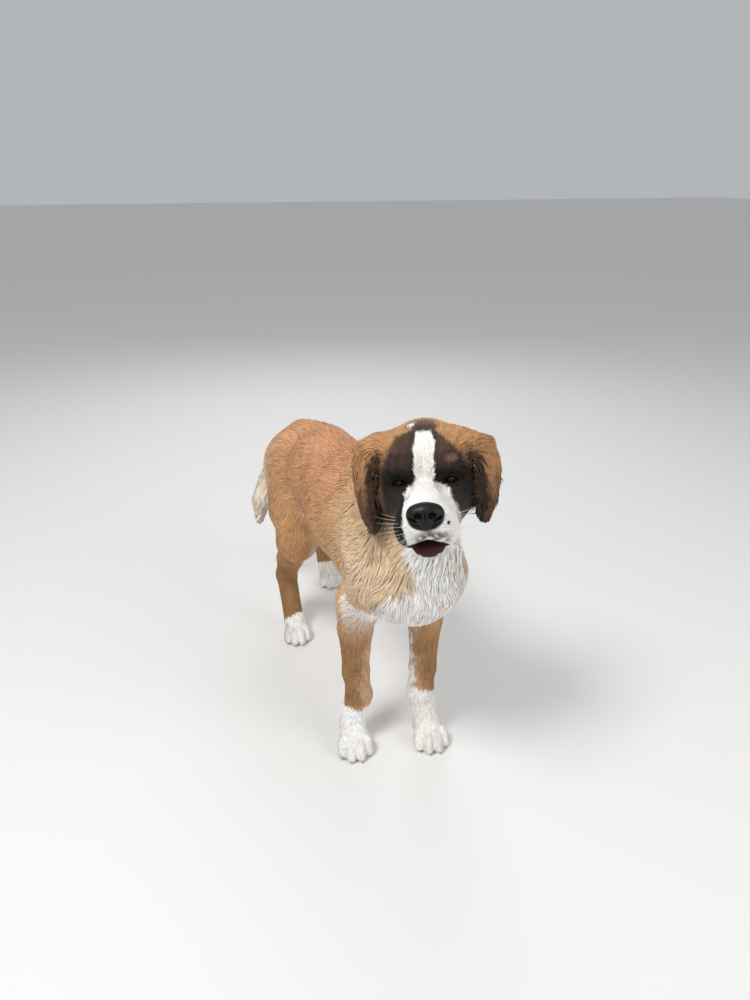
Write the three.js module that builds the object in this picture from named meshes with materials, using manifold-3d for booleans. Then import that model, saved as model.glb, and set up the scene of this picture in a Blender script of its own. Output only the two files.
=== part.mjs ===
// A young Saint Bernard standing still, life size, as a museum model. Millimetres, +Z up.
// The dog faces -Y and its left side is +X. Its flesh is a set of rounded bones and muscles that
// blend into one closed form, which is meshed and then parted with thin cuts where a person would
// name its parts. The head has a frame of its own, turned to the dog's right.
import * as THREE from 'three';
import { mergeVertices } from 'three/addons/utils/BufferGeometryUtils.js';
import Module from 'manifold-3d';

const wasm = await Module();
wasm.setup();

// Driving dimensions
const gap = 0.3;                      // between touching parts
const elbowHeight = 335;
const wristHeight = 120;
const kneeHeight = 318;
const hockHeight = 150;
const pawCut = 88;                    // height where paw and leg part
const headYaw = -26;                  // degrees, turned to its right
const headPitch = -6;                 // nose raised
const headRoll = -6;                  // its left side higher
const betweenEyes = [-26, -167, 690]; // the middle point between the eyeballs
const eyeHalfSpread = 42;
const eyeRadius = 12.5;

// Feet on the floor: [x, y, toe-out in degrees about +Z]
const feet = {
  foreRight: [-90, 22, -14],
  foreLeft: [70, -16, -8],
  hindRight: [-84, 488, -10],
  hindLeft: [96, 742, -6],
};
const pawSize = { fore: 0.92, hind: 0.82 };

// Shapes as distance functions of a point, below zero inside
const mix = (a, b, t) => a + (b - a) * t;
const clamp01 = t => Math.min(1, Math.max(0, t));

function limb(a, ra, b, rb, blend = 30) {
  const [ux, uy, uz] = [b[0] - a[0], b[1] - a[1], b[2] - a[2]];
  const uu = ux * ux + uy * uy + uz * uz;
  const at = (x, y, z) => {
    const t = clamp01(((x - a[0]) * ux + (y - a[1]) * uy + (z - a[2]) * uz) / uu);
    return Math.hypot(x - a[0] - ux * t, y - a[1] - uy * t, z - a[2] - uz * t) - mix(ra, rb, t);
  };
  return { at, blend };
}

function lump(c, r, turn = [0, 0, 0], blend = 25) {
  const m = rotation(turn);
  const at = (x, y, z) => {
    const [dx, dy, dz] = [x - c[0], y - c[1], z - c[2]];
    const px = m[0] * dx + m[3] * dy + m[6] * dz;
    const py = m[1] * dx + m[4] * dy + m[7] * dz;
    const pz = m[2] * dx + m[5] * dy + m[8] * dz;
    const k0 = Math.hypot(px / r[0], py / r[1], pz / r[2]);
    const k1 = Math.hypot(px / r[0] ** 2, py / r[1] ** 2, pz / r[2] ** 2);
    return k1 < 1e-9 ? -Math.min(...r) : k0 * (k0 - 1) / k1;
  };
  return { at, blend };
}

// Row-major 3 x 3 matrix of a turn in degrees about X, then Y, then Z
function rotation(turn) {
  const angles = turn.map(THREE.MathUtils.degToRad);
  const e = new THREE.Matrix4().makeRotationFromEuler(new THREE.Euler(...angles, 'ZYX')).elements;
  return [e[0], e[4], e[8], e[1], e[5], e[9], e[2], e[6], e[10]];
}

const mirrored = ([x, y, z]) => [-x, y, z];
const bothLimbs = (a, ra, b, rb, blend) =>
  [limb(a, ra, b, rb, blend), limb(mirrored(a), ra, mirrored(b), rb, blend)];
const bothLumps = (c, r, [rx, ry, rz] = [0, 0, 0], blend = 25) =>
  [lump(c, r, [rx, ry, rz], blend), lump(mirrored(c), r, [rx, -ry, -rz], blend)];

function bothChains(joints, blend, bend) {
  return [chain(joints, blend, bend), chain(joints.map(([x, y, z, r]) => [-x, y, z, r]), blend, bend)];
}

function join(a, b, k) {
  const h = Math.max(k - Math.abs(a - b), 0) / k;
  return Math.min(a, b) - h * h * k / 4;
}

const blended = shapes => (x, y, z) => {
  let d = 1e6;
  for (const s of shapes) d = join(d, s.at(x, y, z), s.blend);
  return d;
};

// A chain of joints, each [x, y, z, radius], that counts as one shape
function chain(joints, blend, bend = 8) {
  const links = joints.slice(1).map((b, i) =>
    limb(joints[i].slice(0, 3), joints[i][3], b.slice(0, 3), b[3], bend));
  return { at: blended(links), blend };
}

// The second form taken out of the first, with a rounded rim
const hollowed = (f, g, k) => (x, y, z) => -join(-f(x, y, z), g(x, y, z), k);
const grown = (f, by) => (x, y, z) => f(x, y, z) - by;

// The head's own frame: the middle between the eyes is its origin and the nose points along -Y
const headTurn = rotation([headPitch, headRoll, headYaw]);
const inHead = f => (x, y, z) => {
  const [dx, dy, dz] = [x - betweenEyes[0], y - betweenEyes[1], z - betweenEyes[2]];
  return f(headTurn[0] * dx + headTurn[3] * dy + headTurn[6] * dz,
    headTurn[1] * dx + headTurn[4] * dy + headTurn[7] * dz,
    headTurn[2] * dx + headTurn[5] * dy + headTurn[8] * dz);
};
const fromHead = ([x, y, z]) => [0, 1, 2].map(i =>
  betweenEyes[i] + headTurn[3 * i] * x + headTurn[3 * i + 1] * y + headTurn[3 * i + 2] * z);

// Trunk: spine and ribs, withers, belly, breastbone, shoulder blades, upper arms and haunches
const trunkShapes = [
  chain([[0, -20, 478, 98], [0, 100, 474, 106], [0, 220, 474, 108], [0, 420, 492, 92],
    [0, 590, 484, 88]], 50, 40),
  chain([[0, 14, 538, 54], [0, 120, 546, 46], [0, 240, 530, 46]], 60, 30),
  chain([[0, -64, 440, 68], [0, 70, 414, 66], [0, 240, 426, 66], [0, 400, 456, 58]], 50, 30),
  lump([0, -94, 448], [66, 52, 74], [0, 0, 0], 50),
  ...bothChains([[50, 24, 530, 46], [64, -58, 436, 48], [74, 22, 358, 40]], 45, 12),
  ...bothChains([[38, 640, 452, 46], [46, 560, 482, 62]], 45),
];

// Neck, from the shoulders to the back of the skull and the throat
const nape = fromHead([0, 92, -2]);
const throat = fromHead([0, 46, -66]);
const neckShapes = [
  limb([0, -14, 530], 84, nape, 74, 60),
  limb([0, -72, 470], 76, throat, 54, 60),
];

// The joints of each leg, from the body down to the foot
const foreJoints = ([x, y], side) => [
  [side * 78, mix(18, y, 0.25), elbowHeight + 25, 42],
  [mix(side * 76, x, 0.15), mix(30, y + 22, 0.4), elbowHeight - 45, 36],
  [mix(side * 64, x, 0.4), y + 24, wristHeight + 55, 28],
  [mix(side * 52, x, 0.45), y + 20, wristHeight - 4, 28],
  [x, y + 14, 55, 27],
];
const hindJoints = ([x, y], side) => {
  const kneeY = mix(430, y - 66, 0.45);
  return [
    [side * 54, 566, 466, 66],
    [side * 86, kneeY, kneeHeight, 47],
    [mix(side * 90, x, 0.5), mix(kneeY, y + 78, 0.55), mix(kneeHeight, hockHeight, 0.52), 34],
    [x, y + 76, hockHeight, 27],
    [x, y + 22, 45, 26],
  ];
};
const joints = {
  foreRight: foreJoints(feet.foreRight, -1),
  foreLeft: foreJoints(feet.foreLeft, 1),
  hindRight: hindJoints(feet.hindRight, -1),
  hindLeft: hindJoints(feet.hindLeft, 1),
};

function hindleg(name, side) {
  const [hip, knee, shin, hock, foot] = joints[name];
  return [
    chain([hip, knee], 45),
    chain([knee, shin, hock, foot], 30, 12),
    lump([hock[0], hock[1] + 12, hockHeight + 14], [14, 19, 26], [-20, 0, 0], 14),
    limb([side * 48, 636, 440], 50, [side * 82, mix(hip[1], knee[1], 0.35), kneeHeight + 42], 46, 45),
  ];
}

// A paw: its body, four arched toes and the pads under them
const toes = [[-28, -20], [-10.5, -35], [10.5, -35], [28, -20]];
const inPaw = ([x, y, turn], size) => {
  const m = rotation([0, 0, turn]);
  return (dx, dy, z) => [x + m[0] * dx * size + m[1] * dy, y + m[3] * dx * size + m[4] * dy, z];
};
function paw(foot, size) {
  const put = inPaw(foot, size);
  const turn = foot[2];
  const shapes = [lump(put(0, 8, 27), [33 * size, 42, 30], [0, 0, turn], 16)];
  for (const [dx, dy] of toes) {
    const spread = turn + dx * 0.4;
    shapes.push(lump(put(dx, dy, 22), [14.5 * size, 24, 20], [12, 0, spread], 7));
    shapes.push(lump(put(dx * 1.1, dy - 15, 11), [11.5 * size, 13, 13], [0, 0, spread], 6));
  }
  return shapes;
}

const legShapes = [
  chain(joints.foreRight, 30, 12), ...paw(feet.foreRight, pawSize.fore),
  chain(joints.foreLeft, 30, 12), ...paw(feet.foreLeft, pawSize.fore),
  ...hindleg('hindRight', -1), ...paw(feet.hindRight, pawSize.hind),
  ...hindleg('hindLeft', 1), ...paw(feet.hindLeft, pawSize.hind),
];

// Tail, hanging and swung a little to the dog's right: [x, y, z, radius]
const tailJoints = [
  [0, 650, 520, 34], [-6, 700, 488, 30], [-34, 732, 424, 28],
  [-70, 742, 356, 27], [-100, 738, 300, 21], [-116, 730, 256, 11],
];

// Head, in its own frame: skull, forehead, brows, cheeks, muzzle, flews and lips
const headShapes = [
  lump([0, 60, 20], [76, 88, 66], [0, 0, 0], 30),
  lump([0, 10, 30], [58, 42, 46], [0, 0, 0], 30),
  lump([0, 120, 22], [44, 44, 44], [0, 0, 0], 30),
  ...bothLumps([34, -8, 21], [23, 17, 13], [0, 0, 0], 14),
  ...bothLumps([48, 34, -28], [32, 56, 46], [0, 0, 0], 30),
  ...bothLumps([36, -4, -28], [24, 26, 22], [0, 0, 0], 20),
  limb([0, 4, -22], 36, [0, -72, -30], 33, 22),
  ...bothLumps([25, -46, -60], [23, 46, 36], [0, 0, 6], 18),
  ...bothLumps([17, -82, -52], [24, 24, 26], [0, 0, 0], 14),
  ...bothLumps([eyeHalfSpread, 3, 0], [16.5, 16.5, 16], [0, 0, 0], 8),
];
const mouthShapes = [
  lump([0, -46, -90], [22, 66, 13], [24, 0, 0], 20),
  lump([0, -88, -98], [30, 30, 17], [24, 0, 0], 12),
];
const jawShapes = [
  ...bothLimbs([25, 16, -76], 21, [11, -50, -106], 15, 16),
  lump([0, -60, -110], [20, 17, 13], [0, 0, 0], 12),
  limb([0, 10, -84], 18, [0, -40, -108], 12, 12),
];
const tongueShapes = [
  lump([0, -30, -80], [18, 44, 6], [24, 0, 0], 8),
];
const noseShapes = [
  lump([0, -99, -26], [25, 16, 17], [0, 0, 0], 8),
  ...bothLumps([17, -97, -30], [13, 14, 14], [0, 0, 0], 8),
  lump([0, -98, -44], [12, 12, 12], [0, 0, 0], 8),
];
const nostrilShapes = [
  ...bothLumps([11, -115, -28], [6.5, 11, 6], [0, 0, 0], 3),
  ...bothLumps([20, -108, -34], [8, 7, 3], [0, -28, 0], 3),
  lump([0, -116, -36], [1.2, 6, 14], [0, 0, 0], 2),
];

// An ear flap hangs from high on the skull, its front edge by the cheek and its back edge flared
// out, hollow on the side that lies to the head
const earShapes = [
  lump([78, 52, 58], [22, 30, 17], [0, 20, -20], 20),
  lump([98, 50, 36], [10, 42, 30], [0, 24, -32], 22),
  lump([107, 48, -4], [8, 46, 40], [0, 2, -32], 22),
  lump([102, 40, -46], [7.5, 36, 34], [0, -12, -30], 22),
  lump([94, 32, -78], [7, 22, 24], [0, -16, -28], 18),
];
const earCup = [lump([86, 52, -12], [11, 38, 52], [0, 0, -32], 10)];

// Flesh in the part's frame
const body = blended([...trunkShapes, ...neckShapes, ...legShapes, chain(tailJoints, 30)]);
const mouth = inHead(blended(mouthShapes));
const jaw = inHead(blended(jawShapes));
const tongue = inHead(blended(tongueShapes));
const nose = inHead(hollowed(blended(noseShapes), blended(nostrilShapes), 2));
const skull = inHead(blended(headShapes));
const face = (x, y, z) => join(body(x, y, z), skull(x, y, z), 34);
const whole = hollowed(face, mouth, 6);
const earField = side => inHead((x, y, z) =>
  hollowed(blended(earShapes), blended(earCup), 4)(side * x, y, z));

// Meshes the zero level of a distance function inside a box, as a net of quads, one vertex to
// each cell that the surface crosses, and settles the vertices on the surface
function netOf(f, low, high, cell) {
  const n = [0, 1, 2].map(i => Math.ceil((high[i] - low[i]) / cell) + 1);
  const values = new Float32Array(n[0] * n[1] * n[2]);
  const id = (i, j, k) => i + n[0] * (j + n[1] * k);
  for (let k = 0; k < n[2]; k++)
    for (let j = 0; j < n[1]; j++)
      for (let i = 0; i < n[0]; i++)
        values[id(i, j, k)] = f(low[0] + i * cell, low[1] + j * cell, low[2] + k * cell);
  closeDiagonals(values, n, id);
  const vertexOf = new Int32Array(values.length).fill(-1);
  const points = [];
  const corners = [0, 1, 2, 3, 4, 5, 6, 7].map(c => [c & 1, (c >> 1) & 1, c >> 2]);
  for (let k = 0; k < n[2] - 1; k++)
    for (let j = 0; j < n[1] - 1; j++)
      for (let i = 0; i < n[0] - 1; i++) {
        const v = corners.map(([a, b, c]) => values[id(i + a, j + b, k + c)]);
        const inside = v.filter(d => d < 0).length;
        if (inside === 0 || inside === 8) continue;
        const sum = [0, 0, 0];
        let crossings = 0;
        for (let a = 0; a < 8; a++)
          for (const bit of [1, 2, 4]) {
            const b = a | bit;
            if (b === a || (v[a] < 0) === (v[b] < 0)) continue;
            const t = v[a] / (v[a] - v[b]);
            for (let q = 0; q < 3; q++) sum[q] += mix(corners[a][q], corners[b][q], t);
            crossings++;
          }
        vertexOf[id(i, j, k)] = points.length / 3;
        points.push(low[0] + cell * (i + sum[0] / crossings),
          low[1] + cell * (j + sum[1] / crossings), low[2] + cell * (k + sum[2] / crossings));
      }
  const faces = [];
  const step = [[1, 0, 0], [0, 1, 0], [0, 0, 1]];
  for (let k = 1; k < n[2] - 1; k++)
    for (let j = 1; j < n[1] - 1; j++)
      for (let i = 1; i < n[0] - 1; i++)
        for (let axis = 0; axis < 3; axis++) {
          const s = step[axis];
          const here = values[id(i, j, k)] < 0;
          if (here === values[id(i + s[0], j + s[1], k + s[2])] < 0) continue;
          const [u, w] = [step[(axis + 1) % 3], step[(axis + 2) % 3]];
          const q = [[0, 0], [1, 0], [1, 1], [0, 1]].map(([a, b]) =>
            vertexOf[id(i - a * u[0] - b * w[0], j - a * u[1] - b * w[1], k - a * u[2] - b * w[2])]);
          if (here) faces.push(q[0], q[1], q[2], q[0], q[2], q[3]);
          else faces.push(q[0], q[2], q[1], q[0], q[3], q[2]);
        }
  settle(points, f, cell);
  return geometryOf(points, faces);
}

// Two corners inside and two outside across the diagonals of a cell's side would pinch the net, so
// the nearer outside corner is taken inside, until no side is like that
function closeDiagonals(values, n, id) {
  const step = [[1, 0, 0], [0, 1, 0], [0, 0, 1]];
  for (let again = true; again;) {
    again = false;
    for (let k = 0; k < n[2] - 1; k++)
      for (let j = 0; j < n[1] - 1; j++)
        for (let i = 0; i < n[0] - 1; i++)
          for (let axis = 0; axis < 3; axis++) {
            const [u, w] = [step[(axis + 1) % 3], step[(axis + 2) % 3]];
            const a = id(i, j, k);
            const b = id(i + u[0], j + u[1], k + u[2]);
            const c = id(i + u[0] + w[0], j + u[1] + w[1], k + u[2] + w[2]);
            const d = id(i + w[0], j + w[1], k + w[2]);
            const inside = values[a] < 0;
            if (values[c] < 0 !== inside) continue;
            if (values[b] < 0 === inside || values[d] < 0 === inside) continue;
            const pair = inside ? [b, d] : [a, c];
            values[values[pair[0]] < values[pair[1]] ? pair[0] : pair[1]] = -1e-3;
            again = true;
          }
  }
}

function settle(points, f, cell) {
  const e = cell * 0.05;
  for (let round = 0; round < 3; round++)
    for (let i = 0; i < points.length; i += 3) {
      const [x, y, z] = points.slice(i, i + 3);
      const d = f(x, y, z);
      const g = [f(x + e, y, z) - f(x - e, y, z), f(x, y + e, z) - f(x, y - e, z),
        f(x, y, z + e) - f(x, y, z - e)].map(v => v / (2 * e));
      const gg = Math.max(g[0] ** 2 + g[1] ** 2 + g[2] ** 2, 0.3);
      const move = Math.max(-cell * 0.3, Math.min(cell * 0.3, d)) / gg;
      for (let q = 0; q < 3; q++) points[i + q] -= g[q] * move;
    }
}

function geometryOf(points, faces) {
  const g = new THREE.BufferGeometry();
  g.setAttribute('position', new THREE.Float32BufferAttribute(points, 3));
  g.setIndex(faces);
  return g;
}

// Collapses the edges that matter least until about the wanted number of triangles is left. An edge
// goes only where its two ends share just two neighbours, so that the surface stays closed, and
// where no face turns over or becomes a sliver.
function thinned(geometry, triangles) {
  const p = Float64Array.from(geometry.attributes.position.array);
  const faces = Array.from(geometry.index.array);
  const around = Array.from({ length: p.length / 3 }, () => new Set());
  const quadric = Array.from(around, () => new Float64Array(10));
  const point = v => [p[3 * v], p[3 * v + 1], p[3 * v + 2]];
  const normal = (a, b, c) => {
    const [ux, uy, uz] = [b[0] - a[0], b[1] - a[1], b[2] - a[2]];
    const [vx, vy, vz] = [c[0] - a[0], c[1] - a[1], c[2] - a[2]];
    return [uy * vz - uz * vy, uz * vx - ux * vz, ux * vy - uy * vx];
  };
  let left = faces.length / 3;
  for (let f = 0; f < left; f++) {
    const [a, b, c] = faces.slice(3 * f, 3 * f + 3);
    const n = normal(point(a), point(b), point(c));
    const twiceArea = Math.hypot(...n) || 1e-9;
    const [x, y, z] = n.map(q => q / twiceArea);
    const w = -(x * p[3 * a] + y * p[3 * a + 1] + z * p[3 * a + 2]);
    const q = [x * x, x * y, x * z, x * w, y * y, y * z, y * w, z * z, z * w, w * w];
    for (const v of [a, b, c]) {
      around[v].add(f);
      for (let i = 0; i < 10; i++) quadric[v][i] += q[i] * twiceArea;
    }
  }
  const errorAt = (q, [x, y, z]) => q[0] * x * x + q[4] * y * y + q[7] * z * z + q[9]
    + 2 * (q[1] * x * y + q[2] * x * z + q[5] * y * z + q[3] * x + q[6] * y + q[8] * z);
  const neighbours = v => {
    const found = new Set();
    for (const f of around[v]) for (let i = 0; i < 3; i++) found.add(faces[3 * f + i]);
    found.delete(v);
    return found;
  };
  const stamp = new Int32Array(around.length);
  const heap = [];
  const push = item => {
    let i = heap.push(item) - 1;
    while (i > 0 && heap[(i - 1) >> 1].cost > heap[i].cost) {
      const up = (i - 1) >> 1;
      [heap[up], heap[i]] = [heap[i], heap[up]];
      i = up;
    }
  };
  const pop = () => {
    const top = heap[0];
    const last = heap.pop();
    if (heap.length) heap[0] = last;
    for (let i = 0; ;) {
      const [l, r] = [2 * i + 1, 2 * i + 2];
      let least = i;
      if (l < heap.length && heap[l].cost < heap[least].cost) least = l;
      if (r < heap.length && heap[r].cost < heap[least].cost) least = r;
      if (least === i) return top;
      [heap[least], heap[i]] = [heap[i], heap[least]];
      i = least;
    }
  };
  const consider = (a, b) => {
    const q = quadric[a].map((value, i) => value + quadric[b][i]);
    const [pa, pb] = [point(a), point(b)];
    const middle = pa.map((value, i) => (value + pb[i]) / 2);
    const choices = [best(q), middle, pa, pb].filter(c => c && distance(c, middle) < 1.5 * distance(pa, pb));
    const errors = choices.map(c => errorAt(q, c));
    const least = errors.indexOf(Math.min(...errors));
    const cost = errors[least] + 1e-5 * distance(pa, pb) ** 4;
    push({ cost, a, b, at: choices[least], stamps: [stamp[a], stamp[b]] });
  };
  for (let v = 0; v < around.length; v++)
    for (const u of neighbours(v)) if (u > v) consider(v, u);
  while (left > triangles && heap.length) {
    const { a, b, at, stamps } = pop();
    if (stamps[0] !== stamp[a] || stamps[1] !== stamp[b]) continue;
    const ofB = neighbours(b);
    const shared = [...neighbours(a)].filter(v => ofB.has(v));
    if (shared.length !== 2) continue;
    const dying = [...around[a]].filter(f => around[b].has(f));
    const keeps = v => [...around[v]].every(f => {
      if (dying.includes(f)) return true;
      const now = [0, 1, 2].map(i => point(faces[3 * f + i]));
      const then = [0, 1, 2].map(i => (faces[3 * f + i] === v ? at : now[i]));
      const [n0, n1] = [normal(...now), normal(...then)];
      const [l0, l1] = [Math.hypot(...n0), Math.hypot(...n1)];
      const longest = Math.max(...[0, 1, 2].map(i => distance(then[i], then[(i + 1) % 3])));
      return n0[0] * n1[0] + n0[1] * n1[1] + n0[2] * n1[2] > 0.3 * l0 * l1 && l1 > 0.09 * longest ** 2;
    });
    if (!keeps(a) || !keeps(b)) continue;
    for (let i = 0; i < 3; i++) p[3 * a + i] = at[i];
    for (let i = 0; i < 10; i++) quadric[a][i] += quadric[b][i];
    for (const f of around[b]) {
      if (dying.includes(f)) {
        for (let i = 0; i < 3; i++) around[faces[3 * f + i]].delete(f);
        left--;
      } else {
        for (let i = 0; i < 3; i++) if (faces[3 * f + i] === b) faces[3 * f + i] = a;
        around[a].add(f);
      }
    }
    around[b] = new Set();
    stamp[a]++;
    stamp[b]++;
    for (const v of neighbours(a)) consider(a, v);
  }
  const alive = new Set();
  for (const set of around) for (const f of set) alive.add(f);
  return geometryOf(Array.from(p), [...alive].flatMap(f => faces.slice(3 * f, 3 * f + 3)));
}

const distance = (a, b) => Math.hypot(a[0] - b[0], a[1] - b[1], a[2] - b[2]);

// The point of least error of a quadric, by Cramer's rule
function best(q) {
  const [a, b, c, d, e, f, g, h, i] = [q[0], q[1], q[2], q[1], q[4], q[5], q[2], q[5], q[7]];
  const det = a * (e * i - f * h) - b * (d * i - f * g) + c * (d * h - e * g);
  if (Math.abs(det) < 1e-3 * (q[0] + q[4] + q[7]) ** 3 / 27) return null;
  const [x, y, z] = [-q[3], -q[6], -q[8]];
  return [(x * (e * i - f * h) - b * (y * i - f * z) + c * (y * h - e * z)) / det,
    (a * (y * i - f * z) - x * (d * i - f * g) + c * (d * z - y * g)) / det,
    (a * (e * z - y * h) - b * (d * z - y * g) + x * (d * h - e * g)) / det];
}

// A closed geometry as a solid, and a solid as a geometry
function solidOf(geometry, tolerance = 1e-4) {
  const g = geometry.clone();
  for (const key of Object.keys(g.attributes)) if (key !== 'position') g.deleteAttribute(key);
  const merged = mergeVertices(g, tolerance);
  return new wasm.Manifold(new wasm.Mesh({
    numProp: 3,
    vertProperties: merged.attributes.position.array,
    triVerts: new Uint32Array(merged.index.array),
  }));
}

const largest = solid =>
  solid.decompose().reduce((a, b) => (Math.abs(a.volume()) > Math.abs(b.volume()) ? a : b));

function surfaceOf(solid) {
  const m = solid.getMesh();
  const g = new THREE.BufferGeometry();
  g.setAttribute('position', new THREE.BufferAttribute(m.vertProperties, 3));
  return g.setIndex(new THREE.BufferAttribute(m.triVerts, 1));
}

// The largest closed surface of a solid. Where two of its corners only touch, both are drawn in a
// little, so that its sheets don't meet along an edge or at a point.
function rounded(solid) {
  const [touching, drawnIn] = [2e-3, 0.02];
  const g = surfaceOf(largest(solidOf(surfaceOf(largest(solid)), 1e-3)));
  g.computeVertexNormals();
  const [p, n] = [g.attributes.position, g.attributes.normal];
  const corners = Array.from({ length: p.count }, (_, i) => [p.getX(i), p.getY(i), p.getZ(i)]);
  const touches = (a, i) => corners.some((b, j) => j !== i && distance(a, b) < touching);
  corners.forEach((a, i) => {
    if (touches(a, i))
      p.setXYZ(i, a[0] - n.getX(i) * drawnIn, a[1] - n.getY(i) * drawnIn, a[2] - n.getZ(i) * drawnIn);
  });
  return solidOf(g);
}

// A solid with every corner moved out along its normal, so that what it is cut from clears it
function inflated(solid, by = gap * 1.8) {
  const g = surfaceOf(solid);
  g.computeVertexNormals();
  const [p, n] = [g.attributes.position.array, g.attributes.normal.array];
  for (let i = 0; i < p.length; i++) p[i] += n[i] * by;
  g.deleteAttribute('normal');
  return solidOf(g);
}

const centre = ([x, y, z]) => new THREE.Matrix4().makeTranslation(x, y, z);

// A slab or block placed by its middle, with its own Z along a given direction
function block(size, at, direction = [0, 0, 1]) {
  const turn = new THREE.Quaternion().setFromUnitVectors(
    new THREE.Vector3(0, 0, 1), new THREE.Vector3(...direction).normalize());
  const g = new THREE.BoxGeometry(...size).applyQuaternion(turn).applyMatrix4(centre(at));
  return solidOf(g);
}

// A ball stretched to three radii, laid along the line between two points
function ballAlong(a, b, across, beyond, by = 0) {
  const [p, q] = [new THREE.Vector3(...a), new THREE.Vector3(...b)];
  const turn = new THREE.Quaternion().setFromUnitVectors(
    new THREE.Vector3(0, 1, 0), q.clone().sub(p).normalize());
  const g = new THREE.SphereGeometry(1, 14, 8)
    .scale(across[0] + by, p.distanceTo(q) / 2 + beyond + by, across[1] + by)
    .applyQuaternion(turn)
    .applyMatrix4(centre(p.add(q).multiplyScalar(0.5).toArray()));
  return solidOf(g);
}

// A tooth or claw: a slim cone from its root to its tip
function spike(root, tip, radius) {
  const [p, q] = [new THREE.Vector3(...root), new THREE.Vector3(...tip)];
  const turn = new THREE.Quaternion().setFromUnitVectors(
    new THREE.Vector3(0, 1, 0), q.clone().sub(p).normalize());
  const g = new THREE.ConeGeometry(radius, p.distanceTo(q), 6).applyQuaternion(turn)
    .applyMatrix4(centre(p.add(q).multiplyScalar(0.5).toArray()));
  return solidOf(g);
}

// Everything on the side of a plane that the direction points to, starting half a gap off it
function beyond(at, direction, half = gap / 2) {
  const n = new THREE.Vector3(...direction).normalize();
  const size = 2000;
  const middle = new THREE.Vector3(...at).addScaledVector(n, size / 2 + half);
  return block([size, size, size], middle.toArray(), direction);
}

const behind = (at, direction) => beyond(at, direction.map(v => -v));

// The almond-shaped opening between the lids
function lidOpening(side) {
  const g = new THREE.SphereGeometry(1, 14, 6).scale(13, 22, 6.5)
    .applyMatrix4(new THREE.Matrix4().makeRotationY(THREE.MathUtils.degToRad(side * 14)))
    .applyMatrix4(centre([side * eyeHalfSpread, -16, -0.5]));
  const m = new THREE.Matrix4().set(...headTurn.slice(0, 3), betweenEyes[0], ...headTurn.slice(3, 6),
    betweenEyes[1], ...headTurn.slice(6), betweenEyes[2], 0, 0, 0, 1);
  return solidOf(g.applyMatrix4(m));
}

const eyeAt = side => fromHead([side * eyeHalfSpread, 2, 0]);
const ball = (at, radius, wide = 12, high = 8) =>
  solidOf(new THREE.SphereGeometry(radius, wide, high).applyMatrix4(centre(at)));

// Planes that part the trunk: a point on each and the direction of its far side
const headPlane = [[0, -90, 612], [0, -0.55, 0.84]];
const neckPlane = [[0, -60, 512], [0, -0.66, 0.75]];
const loinPlane = [[0, 440, 480], [0, 1, 0.1]];
const tailCut = [[-8, 704, 478], [-0.25, 0.45, -0.86]];
const pastPlane = ([[px, py, pz], d], by) => (x, y, z) =>
  ((x - px) * d[0] + (y - py) * d[1] + (z - pz) * d[2]) / Math.hypot(...d) - by;

// Meshes of the flesh, finer on the head and the paws
const overlap = 40;
const pastHead = pastPlane(headPlane, overlap);
const fleshMesh = solidOf(thinned(netOf((x, y, z) => Math.max(whole(x, y, z), pastHead(x, y, z)),
  [-190, -260, -26], [190, 850, 760], 13), 2060));
const beforeHead = pastPlane([headPlane[0], headPlane[1].map(v => -v)], overlap);
const headMesh = solidOf(thinned(netOf((x, y, z) => Math.max(whole(x, y, z), beforeHead(x, y, z)),
  [-230, -340, 430], [180, 100, 850], 7), 2100));

const nodes = {};

// Legs: the leg below a cut across its joint, the shoulder or thigh let into the trunk like a
// ball, and the paw below a level cut
const sides = { left: 1, right: -1 };
const downward = { fore: -1, hind: 1 };
let trunk = largest(fleshMesh.intersect(behind(...headPlane)));
for (const [sideName, side] of Object.entries(sides))
  for (const end of ['fore', 'hind']) {
    const name = end + (side > 0 ? 'Left' : 'Right');
    const [first, second, third] = joints[name].map(j => j.slice(0, 3));
    const [x, y] = feet[name];
    const [at, along] = end === 'fore'
      ? [[first[0], first[1] + 4, elbowHeight - 26], [0, 0.12, 1]]
      : [second.map((v, i) => mix(v, third[i], 0.34)), [0, (third[1] - second[1]) / 2, third[2] - second[2]]];
    const below = by => beyond(at, along.map(v => v * downward[end]), gap / 2 - by)
      .intersect(block([190 + by, 420 + by, 420 + by], [side * 110, y + 40, 190]));
    nodes[end + 'leg_' + sideName] = largest(
      trunk.intersect(below(0)).intersect(beyond([0, 0, pawCut], [0, 0, 1])));
    trunk = largest(trunk.subtract(below(gap)));
    const [top, low, across, past] = end === 'fore'
      ? [[side * 88, -4, 470], [side * 88, 8, 350], [58, 84], 52]
      : [[first[0] + side * 26, first[1], 452], second, [66, 100], 70];
    const upper = end === 'fore' ? 'shoulder_' : 'thigh_';
    nodes[upper + sideName] = largest(trunk.intersect(ballAlong(top, low, across, past)));
    trunk = largest(trunk.subtract(ballAlong(top, low, across, past, gap)));
    const pawField = (px, py, pz) => Math.max(whole(px, py, pz), pz - pawCut - 20);
    const pawMesh = solidOf(thinned(
      netOf(pawField, [x - 85, y - 105, -21], [x + 85, y + 115, pawCut + 28], 6.5), 270));
    const put = inPaw(feet[name], pawSize[end]);
    const claws = toes.map(([dx, dy]) =>
      spike(put(dx * 1.1, dy - 20, 15), put(dx * 1.14, dy - 36, 5), 3.6));
    nodes[end + 'paw_' + sideName] = rounded(claws.reduce((sum, claw) => sum.add(claw),
      pawMesh.intersect(behind([0, 0, pawCut], [0, 0, 1])).intersect(beyond([0, 0, 0], [0, 0, 1], 0))));
  }

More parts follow.
